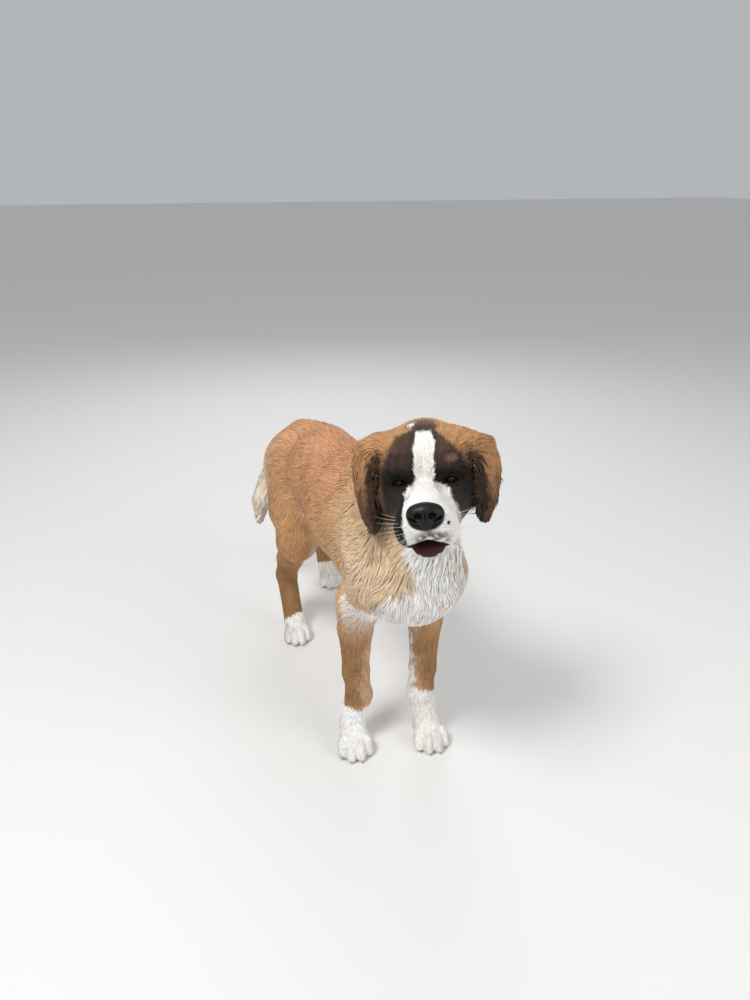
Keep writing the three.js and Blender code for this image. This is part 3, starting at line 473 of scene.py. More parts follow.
def face_at(d, q):
    """The finer forms of the face, worked into the outline"""
    opening = between_lids(q)
    half = one_sided(q)
    d = cut(d, socket(half), 14)
    ball = np.sqrt(((half - (EYE_SPREAD, EYE_DEPTH, 0)) ** 2).sum(1))
    d = join(d, ball - LID_RADIUS, 5)
    d = cut(d, opening, 1.6)
    front = smooth(30, 0, q[:, 1])
    furrow = np.exp(-((q[:, 0] - 1) / 5) ** 2) * smooth(4, 18, q[:, 2]) * smooth(74, 40, q[:, 2])
    crease = np.exp(-((opening - 6) / 1.8) ** 2) * smooth(22, 8, opening)
    parting = np.exp(-(q[:, 0] / 1.6) ** 2) * smooth(-40, -50, q[:, 2]) * smooth(-84, -96, q[:, 1])
    return d + front * (2.6 * furrow + 1.4 * crease + 2.2 * parting)


# Each part of the body has a name, its forms and the room outside which they needn't be worked out.
# The lower jaw is drawn up at its front, so that its lip stands before the teeth.
JAW_RAISED = 9.0
LEG_ROOM = 180
body_forms = [("trunk", trunk, None), ("neck", neck, None)]
for name in FEET:
    joints, shapes = leg(name)
    spots = np.array(joints)[:, :3]
    body_forms.append((name, shapes, (spots.min(0) - LEG_ROOM, spots.max(0) + LEG_ROOM)))
    x, y = FEET[name][:2]
    body_forms.append((name + "_paw", paw(name), ((x - 85, y - 115, -40), (x + 85, y + 95, 110))))
body_forms.append(("tail", [chain(TAIL_JOINTS, 30)], ((-230, 530, 150), (130, 860, 640))))
NAPE_BLEND = 34
HEAD_ROOM = ((-190, -185, -210), (190, 240, 160))
HEAD_REGIONS = ["head", "ear_left", "ear_right", "jaw", "mouth"]
REGIONS = [name for name, shapes, room in body_forms] + HEAD_REGIONS
COATED = REGIONS[:-1]
TRUNK_PLACE = COATED.index("trunk")
NECK_PLACE = COATED.index("neck")
HEAD_PLACE = COATED.index("head")
JAW_PLACE = COATED.index("jaw")
TAIL_PLACE = COATED.index("tail")


def within(p, room):
    return ((p > room[0]) & (p < room[1])).all(1)


def flesh_at(p):
    """The outline at some points, and the distance to each region of the body"""
    d = np.full(len(p), FAR)
    found = np.full((len(p), len(REGIONS)), FAR)
    for i, (_, shapes, room) in enumerate(body_forms):
        here = np.ones(len(p), bool) if room is None else within(p, room)
        if here.any():
            own, whole = found[here, i], d[here]
            for shape, blend in shapes:
                s = shape(p[here])
                whole = join(whole, s, blend)
                own = np.minimum(own, s)
            found[here, i], d[here] = own, whole
    q = to_head(p)
    here = within(q, HEAD_ROOM)
    if here.any():
        q, whole = q[here], d[here]
        closed = lifted(q, -JAW_RAISED * smooth(20, -50, q[:, 1]))
        skull, jaw, gap = head_at(q), jaw_at(closed), mouth_at(q)
        ears = ear_at(q, LEFT_EAR_DROP), ear_at(q * (-1, 1, 1))
        whole = face_at(join(whole, skull, NAPE_BLEND), q)
        whole = join(cut(whole, gap, 6), jaw, 7)
        whole = join(join(whole, ears[0], 6), ears[1], 6)
        found[here, -len(HEAD_REGIONS):] = np.stack([skull, *ears, jaw, gap], 1)
        d[here] = whole
    return d, found


def sampled(f, p, run=3000):
    """A form worked out over short runs of points, which is quicker than all at once"""
    parts = [f(p[i:i + run]) for i in range(0, len(p), run)]
    if isinstance(parts[0], tuple):
        return tuple(np.concatenate(column) for column in zip(*parts))
    return np.concatenate(parts)


# Skin. One thin skin lies inside the coat's outline by the depth of the fur, and carries the face's
# lids, lips and folds. It is drawn on a lattice, closer over the head, and drawn closer again there.
REGION_DEPTH = {"trunk": 4.5, "neck": 5, "tail": 4.5, "ear_left": 1.7, "ear_right": 1.7, "jaw": 1.3}
LEG_DEPTH = 2.2
PAW_DEPTH = 1.2
REGION_FADE = 11.0


def region_shares(found):
    """How much each region counts at some points"""
    weight = np.exp(-(found - found.min(1, keepdims=True)) / REGION_FADE)
    return weight / weight.sum(1, keepdims=True)


def head_depth(q):
    deep = mix(1.3, 3.5, smooth(-10, 90, q[:, 1]))
    return mix(0.8, deep, smooth(-108, -70, q[:, 1]))


LID_SHARE = 0.15


def depth_at(p, found):
    """How deep the skin lies under the coat's outline, least at the lids and lips"""
    shares = region_shares(found[:, :-1])
    q = to_head(p)
    deep = head_depth(q) * shares[:, HEAD_PLACE]
    for i, name in enumerate(COATED):
        if name != "head":
            on_leg = PAW_DEPTH if name.endswith("paw") else LEG_DEPTH
            deep = deep + REGION_DEPTH.get(name, on_leg) * shares[:, i]
    by_eye = mix(LID_SHARE, 1, smooth(0, 12, between_lids(q)))
    by_mouth = mix(LID_SHARE, 1, smooth(1, 14, found[:, -1]))
    return deep * np.where(within(q, HEAD_ROOM), by_eye * by_mouth, 1)


def skin_at(p):
    d, found = flesh_at(p)
    return d + depth_at(p, found)


def stations(*stretches):
    """Places along one axis, from stretches of start, end and step"""
    runs = [np.linspace(a, b, round((b - a) / step), endpoint=False) for a, b, step in stretches]
    return np.concatenate([*runs, [stretches[-1][1]]])


# The outline is worked out on the lattice's coarse points first, and on the rest only near the body
CELLS = 4
NEAR = 26
CUBE = [(i, j, k) for i in (0, 1) for j in (0, 1) for k in (0, 1)]
lattice = [stations((-154, 158, 4.6)), stations((-298, -40, 3.4), (-40, 862, 5.9)),
           stations((-8, 545, 5.9), (545, 792, 3.4))]
lattice = [line[:(len(line) - 1) // CELLS * CELLS + 1] for line in lattice]
coarse = [line[::CELLS] for line in lattice]
corners = np.stack(np.meshgrid(*coarse, indexing="ij"), -1).reshape(-1, 3)
coarse_skin = sampled(skin_at, corners).reshape([len(line) for line in coarse])
near = np.abs(coarse_skin) < NEAR
wide, deep, tall = near.shape
blocks = np.zeros((wide - 1, deep - 1, tall - 1), bool)
for i, j, k in CUBE:
    blocks |= near[i:wide - 1 + i, j:deep - 1 + j, k:tall - 1 + k]
fine = np.zeros([len(line) for line in lattice], bool)
for axis in range(3):
    blocks = np.repeat(blocks, CELLS, axis)
wide, deep, tall = blocks.shape
for i, j, k in ((0, 0, 0), (1, 1, 1), (1, 0, 0), (0, 1, 0), (0, 0, 1)):
    fine[i:wide + i, j:deep + j, k:tall + k] |= blocks
nearest = [np.minimum((np.arange(len(line)) + CELLS // 2) // CELLS, len(c) - 1)
           for line, c in zip(lattice, coarse)]
skin_field = coarse_skin[np.ix_(*nearest)].astype(np.float32)
coat_field = skin_field.copy()
spot = np.argwhere(fine)
points = np.stack([line[spot[:, i]] for i, line in enumerate(lattice)], 1)
outline, found = sampled(flesh_at, points)
coat_field[fine] = outline
skin_field[fine] = outline + depth_at(points, found)


def net_of(values, lines):
    """A closed net of four-sided faces where the values pass zero"""
    inside = values < 0
    cell_shape = [n - 1 for n in values.shape]
    offsets = np.array(CUBE)
    filled = np.zeros(cell_shape, np.int8)
    for i, j, k in offsets:
        filled += inside[i:i + cell_shape[0], j:j + cell_shape[1], k:k + cell_shape[2]]
    crossed = (filled > 0) & (filled < 8)
    cells = np.argwhere(crossed)
    total, count = np.zeros((len(cells), 3)), np.zeros(len(cells))
    for a in offsets:
        for axis in range(3):
            if a[axis] == 0:
                b = a.copy()
                b[axis] = 1
                va, vb = values[tuple((cells + a).T)], values[tuple((cells + b).T)]
                passed = (va < 0) != (vb < 0)
                share = np.where(passed, va / np.where(passed, va - vb, 1), 0)
                total += passed[:, None] * (a + share[:, None] * (b - a))
                count += passed
    at = cells + total / count[:, None]
    corners = np.stack([np.interp(at[:, i], np.arange(len(lines[i])), lines[i]) for i in range(3)], 1)
    number = np.full(cell_shape, -1)
    number[crossed] = np.arange(len(cells))
    faces = []
    for axis in range(3):
        first, second = [slice(None)] * 3, [slice(None)] * 3
        first[axis], second[axis] = slice(None, -1), slice(1, None)
        a, b = inside[tuple(first)], inside[tuple(second)]
        edges = np.argwhere(a != b)
        u, v = np.eye(3, dtype=int)[(axis + 1) % 3], np.eye(3, dtype=int)[(axis + 2) % 3]
        around = [number[tuple((edges - step).T)] for step in (u + v, v, 0 * u, u)]
        out = a[tuple(edges.T)]
        ring = np.stack(around, 1)
        ring[~out] = ring[~out][:, ::-1]
        faces.append(ring)
    return corners, np.concatenate(faces)


def mesh_of(name, points, faces):
    """A mesh from arrays, for faces that all have as many corners"""
    made = bpy.data.meshes.new(name)
    sides = faces.shape[1]
    made.vertices.add(len(points))
    made.vertices.foreach_set("co", np.asarray(points, np.float32).ravel())
    made.loops.add(faces.size)
    made.loops.foreach_set("vertex_index", faces.astype(np.int32).ravel())
    made.polygons.add(len(faces))
    made.polygons.foreach_set("loop_start", np.arange(0, faces.size, sides, dtype=np.int32))
    made.update(calc_edges=True)
    made.shade_smooth()
    return made


# The face's front is drawn closer: each of its faces is parted in four
FACE_ROOM = ((-84, -400, -132), (84, 34, 92))
skin_points, skin_faces = net_of(skin_field, lattice)
skin_mesh = mesh_of("Skin", skin_points, skin_faces)
face_front = within(to_head(skin_points), FACE_ROOM)
net = bmesh.new()
net.from_mesh(skin_mesh)
net.verts.ensure_lookup_table()
chosen = [e for e in net.edges if face_front[e.verts[0].index] and face_front[e.verts[1].index]]
bmesh.ops.subdivide_edges(net, edges=chosen, cuts=1, use_grid_fill=True)
bmesh.ops.triangulate(net, faces=[f for f in net.faces if len(f.verts) > 4])
net.to_mesh(skin_mesh)
net.free()


def mesh_points(mesh):
    points = np.empty(len(mesh.vertices) * 3, np.float32)
    mesh.vertices.foreach_get("co", points)
    return points.reshape(-1, 3).astype(float)


def slope_of(f, p, values, reach=0.4):
    """How a form's distance grows along X, Y and Z, its values at the points being known"""
    return np.stack([(sampled(f, p + step) - values) / reach for step in np.eye(3) * reach], 1)


# The head's skin is drawn on to its true form, and the soles are flat where they rest
MOST_DRAWN = 2
SOLE_HEIGHT = 0.2
skin_points = mesh_points(skin_mesh)
on_head = within(to_head(skin_points), HEAD_ROOM)
moving = skin_points[on_head]
for turn in range(3):
    value = sampled(skin_at, moving)
    slope = slope_of(skin_at, moving, value)
    step = value / np.maximum((slope * slope).sum(1), 0.3)
    moving = moving - np.clip(step, -MOST_DRAWN, MOST_DRAWN)[:, None] * slope * 0.9
skin_points[on_head] = moving
skin_points[:, 2] = np.maximum(skin_points[:, 2], SOLE_HEIGHT - MODEL_SHIFT[2] * 1000)
skin_mesh.vertices.foreach_set("co", skin_points.astype(np.float32).ravel())
skin_mesh.update()
outline, found = sampled(flesh_at, skin_points)

# Markings. White blaze, muzzle, throat, chest and feet, a black mask round the eyes, black edges to
# the ears and a tan coat that is redder on the back and cream on the breeches and the tail.
WHITE = paint("f6f0e8")
CREAM = paint("e6d2b8")
GOLD = paint("d6b289")
TAN = paint("bd8f64")
RED_TAN = paint("c9926b")
ORANGE = paint("b4855a")
DARK_EAR = paint("3a2820")
BLACK = paint("120f0e")
BROW_GREY = paint("40302d")
BROW_TAN = paint("80604c")
LIP_BLACK = paint("120d0d")
GUM = paint("4a2224")
LEG_BROWN = paint("86643f")
SMOKE = paint("7a6a5c")


def drift(p, size, seed):
    """Smooth noise whose lumps are about the given size, mostly between -1 and 1"""
    rng = np.random.default_rng(seed)
    waves = rng.normal(size=(3, 12)) * 1.6 / size
    return np.clip(np.cos(p @ waves + rng.uniform(0, 2 * np.pi, 12)).sum(1) / 4.2, -1.2, 1.2)


def tinted(colour, other, share):
    """Colours taken toward another by a share for each point"""
    return colour + (other - colour) * np.asarray(share)[:, None]


def plain(colour, p):
    return np.tile(colour, (len(p), 1))


def spot_share(q, centre, radii, edge=0.5):
    """A round spot: 1 inside, 0 outside, with a soft edge"""
    away = np.sqrt((((q - centre) / radii) ** 2).sum(1))
    return smooth(1 + edge / 2, 1 - edge / 2, away)


# Each edge of a marking: heights on the head, and how far the edge stands to the left there
BLAZE_RIGHT = ((-80, -45, -20, -6, 8, 41, 82), (-31, -36, -34, -25, -12, -14, -9))
BLAZE_LEFT = ((-63, -33, -13, -3, 6, 38, 65, 80), (54, 47, 35, 24, 14, 16, 21, 17))
MASK_RIGHT = ((-100, -37, 12, 30, 47, 60, 73, 84), (-72, -70, -70, -64, -58, -51, -42, -16))
MASK_LEFT = ((-100, 1, 18, 38, 55, 69, 81), (80, 77, 70, 61, 50, 36, 24))
EAR_STRIP = ((-88, -60, -20, 23, 50), (93, 98, 101, 96, 78))


def nose_room(q):
    """Less than one where the skin lies behind the nose pad"""
    return np.sqrt((((q - (0, -104, -32)) / (29, 20, 21)) ** 2).sum(1))


def head_colour(q, mouth_gap):
    """Tan crown, dark mask with a tan brow spot, white blaze and muzzle, black lips and lids"""
    x, y, z = q.T
    wobble = drift(q, 7, 3) * 1.6 + drift(q, 2.5, 4) * 0.9
    colour = tinted(plain(ORANGE, q), TAN, smooth(40, 120, y + drift(q, 20, 8) * 12))
    temple = smooth(60, 70, np.abs(x)) * smooth(70, 30, y) * smooth(60, 30, z)
    colour = tinted(colour, DARK_EAR, temple * 0.7)
    mask = np.minimum(x - np.interp(z, *MASK_RIGHT), np.interp(z, *MASK_LEFT) - x)
    mask = np.minimum(mask, (34 - y) * 0.8) + wobble
    greyer = smooth(14, 34, z) * (0.75 + 0.25 * drift(q * (1, 1, 0.3), 6, 9))
    dark = tinted(plain(BLACK, q), BROW_GREY, greyer)
    brow = spot_share(q, (44, -18, 37), (12, 14, 6), 1.2) * 0.8
    brow = np.maximum(brow, spot_share(q, (30, 0, 46), (12, 20, 22), 1.2) * 0.35)
    dark = tinted(dark, BROW_TAN, brow)
    colour = tinted(colour, dark, smooth(-4, 4, mask))
    crown = spot_share(q, (-2, 44, 86), (27, 26, 16), 0.7) * 0.85
    colour = tinted(colour, BROW_GREY * 0.8, crown)
    colour = tinted(colour, WHITE, spot_share(q, (-19, 40, 86), (6, 12, 8), 0.6) * 0.9)
    blaze = np.minimum(x - np.interp(z, *BLAZE_RIGHT), np.interp(z, *BLAZE_LEFT) - x)
    blaze = np.minimum(blaze, np.minimum(81 - z, 44 - y)) + wobble * 0.8
    blaze = np.where(z < -20, np.minimum(blaze, (2 - y) * 0.8 + 4), blaze)
    colour = tinted(colour, WHITE, smooth(-2, 2, blaze))
    sooty = spot_share(q, (8, -98, -70), (28, 30, 17), 0.7) * smooth(-1.3, 0.1, drift(q, 5, 12))
    colour = tinted(colour, SMOKE * 0.35, sooty * 0.85)
    colour = tinted(colour, BLACK, spot_share(q, (34, -99, -45), (2.6, 6, 3.6), 0.4))
    colour = tinted(colour, LIP_BLACK, smooth(1.08, 1.0, nose_room(q)))
    lips = smooth(8, 5, mouth_gap) * smooth(-50, -62, z)
    colour = tinted(colour, LIP_BLACK, lips)
    lids = smooth(3.2, 1.4, between_lids(q)) * smooth(12, 4, y)
    return tinted(colour, LIP_BLACK, lids)


def ear_colour(q):
    """Orange ears, darker toward the tip and black along the front edge"""
    x, y, z = q.T
    wobble = drift(q, 12, 5) * 4
    colour = tinted(plain(ORANGE, q), DARK_EAR, smooth(16, -64, z + wobble * 2.5) * 0.85)
    strip = np.minimum(np.interp(z, *EAR_STRIP) - np.abs(x), 52 - y - np.abs(z) * 0.1)
    strip = np.minimum(strip, 50 - z) + wobble * 0.6
    return tinted(colour, BLACK * 1.3, smooth(-3, 4, strip))


def jaw_colour(q, mouth_gap):
    """A white chin with black sides and lips"""
    colour = tinted(plain(WHITE, q), SMOKE, smooth(0.2, 1.2, drift(q, 9, 14)) * 0.5)
    side = smooth(-30, 10, q[:, 1]) * smooth(-118, -96, q[:, 2])
    colour = tinted(colour, BLACK, side)
    return tinted(colour, LIP_BLACK, smooth(8, 5, mouth_gap))


# The chest's white: heights, and how far its right edge stands to the left there
CHEST_EDGE = ((300, 395, 430, 455, 470, 490, 520, 560, 600),
              (-120, -112, -88, -66, -50, -34, -44, -48, -42))


def body_colour(p, q):
    """Tan, redder on the back, gold on the neck, cream below and behind, white on the chest"""
    x, y, z = p.T
    wobble = drift(p, 22, 6) * 8 + drift(p, 7, 7) * 3
    red = smooth(440, 560, z + wobble * 3) * smooth(0, 260, y + wobble * 2)
    colour = tinted(plain(TAN, p), RED_TAN, red)
    colour = tinted(colour, GOLD, smooth(190, -10, y + wobble * 2) * 0.8)
    colour = tinted(colour, CREAM, smooth(90, -60, y) * smooth(600, 500, z) * 0.45)
    colour = tinted(colour, GOLD, smooth(455, 380, z + wobble) * 0.6)
    flank = smooth(450, 520, y) * smooth(440, 330, z + wobble * 2)
    colour = tinted(colour, CREAM, flank * 0.6)
    under = smooth(385, 360, z + wobble * 0.6 + np.abs(x) * 0.25) * smooth(60, 30, np.abs(x) - 45)
    colour = tinted(colour, CREAM, under)
    breech = smooth(600, 650, y + wobble) * smooth(500, 430, z)
    colour = tinted(colour, CREAM, breech * 0.9)
    edge = np.interp(z, *CHEST_EDGE)
    chest = np.minimum(x - edge, 30 - edge - x)
    chest = np.minimum(chest, -y - 40 + np.clip(430 - z, 0, 200) * 1.2) + wobble * 0.6
    chest = np.minimum(chest, -70 - q[:, 2])
    colour = tinted(colour, WHITE * 0.96, smooth(-5, 5, chest))
    smudge = smooth(0.1, 0.9, drift(p, 16, 16)) * smooth(30, 0, np.abs(chest)) * smooth(520, 480, z)
    return tinted(colour, SMOKE, smudge * 0.4)


def leg_colour(p, name):
    """Tan and brown legs with white socks, lighter on the inside"""
    x, y, z = p.T
    foot_x, foot_y = FEET[name][:2]
    wobble = drift(p, 14, 21) * 5 + drift(p, 5, 22) * 2
    side = 1 if name.endswith("left") else -1
    inward = (foot_x - x) * side
    if name.startswith("fore"):
        colour = tinted(plain(TAN, p), GOLD, smooth(330, 420, z + wobble * 3) * 0.8)
        outer = smooth(40, 0, inward + wobble) * smooth(350, 230, z)
        colour = tinted(colour, LEG_BROWN, outer * 0.6)
        inner = smooth(14, 30, inward + wobble)
        colour = tinted(colour, CREAM, inner * 0.3)
        sock = 136 if side > 0 else 104
        if side > 0:
            colour = tinted(colour, WHITE, smooth(26, 32, foot_x - x + wobble) * smooth(310, 250, z))
        return tinted(colour, WHITE, smooth(5, -5, z - sock - (y - foot_y - 14) * 0.15 + wobble))
    behind = smooth(foot_y + 10, foot_y + 110, y) * smooth(220, 330, z)
    colour = tinted(plain(TAN, p), CREAM, behind * 0.8)
    colour = tinted(colour, LEG_BROWN, smooth(300, 170, z + wobble * 2) * 0.75)
    inner = smooth(0, 30, inward + wobble) * smooth(120, 260, z)
    colour = tinted(colour, CREAM, inner * 0.6)
    edge = z - 76 + np.clip(y - foot_y, -20, 60) * 1.2 - inward * 0.5
    return tinted(colour, WHITE, smooth(6, -6, edge + wobble))


def tail_colour(p):
    """Red at the root, then cream, with a paler end"""
    z = p[:, 2]
    wobble = drift(p * (1, 1, 0.5), 12, 31) * 16
    colour = tinted(plain(RED_TAN, p), CREAM, smooth(520, 430, z + wobble))
    return tinted(colour, WHITE, smooth(400, 290, z + wobble) * 0.4)


def marking_at(p, found):
    """The coat's colour at some points of the body, as linear light"""
    q = to_head(p)
    gap = found[:, -1]
    shares = region_shares(found[:, :-1])
    colour = np.zeros((len(p), 3))
    for i, name in enumerate(COATED):
        here = shares[:, i] > 0.004
        at, local = p[here], q[here]
        if name in ("trunk", "neck"):
            own = body_colour(at, local)
        elif name == "tail":
            own = tail_colour(at)
        elif name == "head":
            own = head_colour(local, gap[here])
        elif name == "jaw":
            own = jaw_colour(local, gap[here])
        elif name.startswith("ear"):
            own = ear_colour(local)
        else:
            own = leg_colour(at, name.removesuffix("_paw"))
        colour[here] += own * shares[here, i][:, None]
    colour = colour / np.maximum(shares.sum(1), 1e-6)[:, None]
    colour = colour * (1 + 0.10 * drift(p, 30, 41) + 0.05 * drift(p, 8, 42))[:, None]
    inside = smooth(0.5, -1.5, gap) * (q[:, 1] < 30) * (q[:, 2] < -50)
    return np.clip(tinted(colour, GUM, inside), 0.002, 0.92)


def coloured(mesh, colours):
    """Stores one colour for each corner point of a mesh"""
    layer = mesh.color_attributes.new("Marking", "FLOAT_COLOR", "POINT")
    whole = np.ones((len(colours), 4), np.float32)
    whole[:, :3] = colours
    layer.data.foreach_set("color", whole.ravel())


# The skin carries the coat's colours darkened: a painted shade for the depth under the tufts, where it
# shows between them
SKIN_SHADE = 0.82
coloured(skin_mesh, marking_at(skin_points, found) * SKIN_SHADE)
skin_finish = Finish("PaintedSkin", Roughness=0.7, Specular_IOR_Level=0.2)
nap = skin_finish.noise(Scale=420.0, Detail=3.0)
skin_finish.shows_marking(nap * 0.4 + 0.78)
skin_finish.raised_by(nap, 0.3, 0.001)


def set_down(name, mesh, finish, slot, *nodes):
    """Gives a mesh its finish, moves it from the dog's frame to the model's, and lets it ride there"""
    mesh.materials.append(finish.material)
    points = mesh_points(mesh)
    mesh.vertices.foreach_set("co", placed(points).astype(np.float32).ravel())
    mesh.update()
    piece = bpy.data.objects.new(name, mesh)
    bpy.context.collection.objects.link(piece)
    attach(piece, "root")
    if nodes:
        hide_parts(*nodes)


FLESH_NODES = [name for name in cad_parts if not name.startswith(("eye", "nose", "tongue"))]

# Coat. Every tuft is a thin three-sided blade that leaves its root in the skin, bends over to the
# coat's lie and tapers to a point near the outline, long on the chest, breeches and tail.
rng = np.random.default_rng(2024)


def field_reader(values):
    """Reads a field between the lattice's points"""
    def read(p):
        base, share = [], []
        for i, line in enumerate(lattice):
            at = np.clip(np.interp(p[:, i], line, np.arange(len(line))), 0, len(line) - 1.001)
            base.append(at.astype(int))
            share.append((at - base[-1]).astype(np.float32))
        total = np.zeros(len(p), np.float32)
        for i, j, k in CUBE:
            part = (share[0] if i else 1 - share[0]) * (share[1] if j else 1 - share[1])
            part = part * (share[2] if k else 1 - share[2])
            total += part * values[base[0] + i, base[1] + j, base[2] + k]
        return total

    return read


coat_reader = field_reader(coat_field)
MOST_MOVED = 22.0
MOST_IN_TURN = 9
READ_ACROSS = 2.5


def unit(v):
    return v / np.maximum(np.sqrt((v * v).sum(-1, keepdims=True)), 1e-9)


def to_height(p, height):
    """Moves points along the field's slope to the given height above the outline"""
    start = p
    for turn in range(2):
        value = coat_reader(p)
        rises = [coat_reader(p + step) - coat_reader(p - step) for step in np.eye(3) * READ_ACROSS]
        slope = np.stack(rises, 1) / (2 * READ_ACROSS)
        size = np.maximum((slope * slope).sum(1), 0.2)
        p = p + (np.clip(height - value, -MOST_IN_TURN, MOST_IN_TURN) / size)[:, None] * slope * 0.9
    moved = p - start
    far = np.sqrt((moved * moved).sum(1, keepdims=True))
    return start + moved * np.minimum(1, MOST_MOVED / np.maximum(far, 1e-6)), unit(slope)


# The coat of each part: how long, wide and thick its tufts are, how far their tips lift, and how many
# tufts lie over each other
GROWTH = {
    "trunk": (34, 4.0, 0.70, 0.7, 4.6),
    "neck": (40, 4.2, 0.75, 0.9, 4.7),
    "tail": (62, 5.0, 1.10, 3.5, 5.8),
    "head": (15, 2.7, 0.55, 0.6, 4.5),
    "ear": (34, 3.8, 0.80, 1.8, 4.4),
    "jaw": (9, 2.4, 0.50, 0.4, 4.0),
    "leg": (20, 3.6, 0.65, 0.5, 3.9),
    "paw": (11, 3.0, 0.55, 0.4, 4.6),
}
LENGTH, WIDTH, THICK, LIFT, LAYERS = range(5)


def family(name):
    """The kind of coat that a region grows"""
    if name in GROWTH:
        return name
    if name.endswith("paw"):
        return "paw"
    return "ear" if name.startswith("ear") else "leg"


def growth_at(p, q, shares):
    """Length, width, thickness, lift and layers of the coat at some points"""
    table = np.array([GROWTH[family(name)] for name in COATED])
    grown = shares @ table
    short = mix(0.42, 1.45, smooth(-90, 90, q[:, 1]))
    grown[:, :LIFT] *= (1 + (short - 1) * shares[:, HEAD_PLACE])[:, None] ** (1.0, 0.7, 0.7)
    y, z = p[:, 1], p[:, 2]
    legs = sum(shares[:, i] for i, name in enumerate(COATED) if family(name) == "leg")
    grown[:, LENGTH] *= 1 + legs * (0.75 * smooth(180, 380, z) - 0.1)
    breech = smooth(590, 650, y) * smooth(230, 300, z) * smooth(520, 460, z)
    breech = breech * (1 - shares[:, TAIL_PLACE])
    chest = smooth(-60, -110, y) * smooth(330, 380, z) * smooth(560, 500, z)
    belly = smooth(385, 350, z) * smooth(0, 60, y) * smooth(560, 500, y) * shares[:, TRUNK_PLACE]
    long = np.maximum(np.maximum(breech, chest * 0.35), belly * 0.6)
    grown[:, LENGTH] *= 1 + 0.7 * long
    grown[:, WIDTH] *= 1 - 0.1 * chest
    grown[:, LIFT] *= 1 + (1.5 - 1.1 * chest) * long
    return grown


NOSE_TIP = (0, -118, -34)


def lie_at(p, q, shares):
    """Which way the coat runs at some points"""
    x, y, z = p.T
    side = np.sign(x)[:, None]
    way = np.zeros((len(p), 3))
    toward = {
        "trunk": (0, 1, -0.5), "neck": (0, 0.75, -0.75), "leg": (0, 0.22, -1), "paw": (0, -0.8, -0.5),
        "jaw": HEAD_AXES @ (0, 1, -0.1),
    }
    from_nose = unit(q - NOSE_TIP)
    from_nose[:, 2] -= 0.35 * smooth(20, 90, q[:, 1])
    down_ear = plain((0, 0.25, -1.0), q)
    down_ear[:, 0] = np.sign(q[:, 0]) * smooth(30, 80, q[:, 2]) * 1.2
    stretch = [np.array(b[:3]) - a[:3] for a, b in zip(TAIL_JOINTS, TAIL_JOINTS[1:])]
    heights = [joint[2] for joint in TAIL_JOINTS[1:]][::-1]
    along = np.stack([np.interp(z, heights, [unit(s)[i] for s in stretch][::-1]) for i in range(3)], 1)
    for i, name in enumerate(COATED):
        kind = family(name)
        if kind == "head":
            own = from_nose @ HEAD_AXES.T
        elif kind == "ear":
            own = down_ear @ HEAD_AXES.T
        elif kind == "tail":
            own = along
        else:
            own = np.array(toward[kind], float)
        way += own * shares[:, i][:, None]
    front = smooth(-30, -100, y) * (shares[:, TRUNK_PLACE] + shares[:, NECK_PLACE])
    way += front[:, None] * ((0, -0.25, -1.1) + side * (0.08, 0, 0))
    back = smooth(600, 660, y) * smooth(540, 480, z) * (1 - shares[:, TAIL_PLACE])
    return unit(way + back[:, None] * (0, 0.3, -1.2))


# The tufts are rooted a little under the skin, and stay above the floor and near the solids' own box
ROOTED = 1.2
BROADEST = 0.35
ROOM_LOW = (np.array(cad_low) - MODEL_SHIFT) * 1000 - (10, 25, -1.2)
ROOM_HIGH = (np.array(cad_high) - MODEL_SHIFT) * 1000 + (10, 25, 8)


def blades(root, normal, lie, length, width, thick, heights, bend, rings):
    """Closed blades as arrays: corner points, their normals, their place along and across the blade"""
    d = unit(lie - (lie * normal).sum(1, keepdims=True) * normal * 0.9)
    across = unit(np.cross(normal, d))
    count = len(root)
    spots = np.linspace(0, 1, rings + 1)
    path, slopes = [], []
    for i, t in enumerate(spots):
        at = root + d * (length * t)[:, None] + across * (bend * length * t * t)[:, None]
        if i == 0:
            path.append(root - normal * ROOTED)
            slopes.append(normal)
        else:
            moved, slope = to_height(at, heights[i])
            path.append(np.clip(moved, ROOM_LOW, ROOM_HIGH))
            slopes.append(slope)
    broad = np.interp(spots, (0, BROADEST, 1), (0.62, 1.0, 0.0))
    points, normals = [], []
    for i in range(rings):
        along = unit(path[i + 1] - path[max(i - 1, 0)])
        side = unit(np.cross(slopes[i], along))
        up = unit(np.cross(along, side))
        w, h = (width * broad[i] / 2)[:, None], (thick * max(broad[i], 0.5) / 2)[:, None]
        for a, b in ((1, -0.5), (0, 1), (-1, -0.5)):
            points.append(path[i] + side * a * w + up * b * h)
            normals.append(unit(slopes[i] + (side * a * 0.4 + up * b * 0.2)))
    points.append(path[-1])
    normals.append(slopes[-1])
    points = np.clip(np.stack(points, 1), ROOM_LOW, ROOM_HIGH)
    normals = np.stack(normals, 1)
    size = 3 * rings + 1
    faces = [(0, 2, 1)]
    for ring in range(rings - 1):
        for k in range(3):
            a, b = ring * 3 + k, ring * 3 + (k + 1) % 3
            faces += [(a, b, b + 3), (a, b + 3, a + 3)]
    faces += [(size - 4 + k, size - 4 + (k + 1) % 3, size - 1) for k in range(3)]
    faces = np.array(faces)[None] + (np.arange(count) * size)[:, None, None]
    along = np.append(np.repeat(spots[:-1], 3), 1)
    cross = np.append(np.tile((0.5, 0, -0.5), rings), 0)
    return points.reshape(-1, 3), normals.reshape(-1, 3), faces.reshape(-1, 3), along, cross


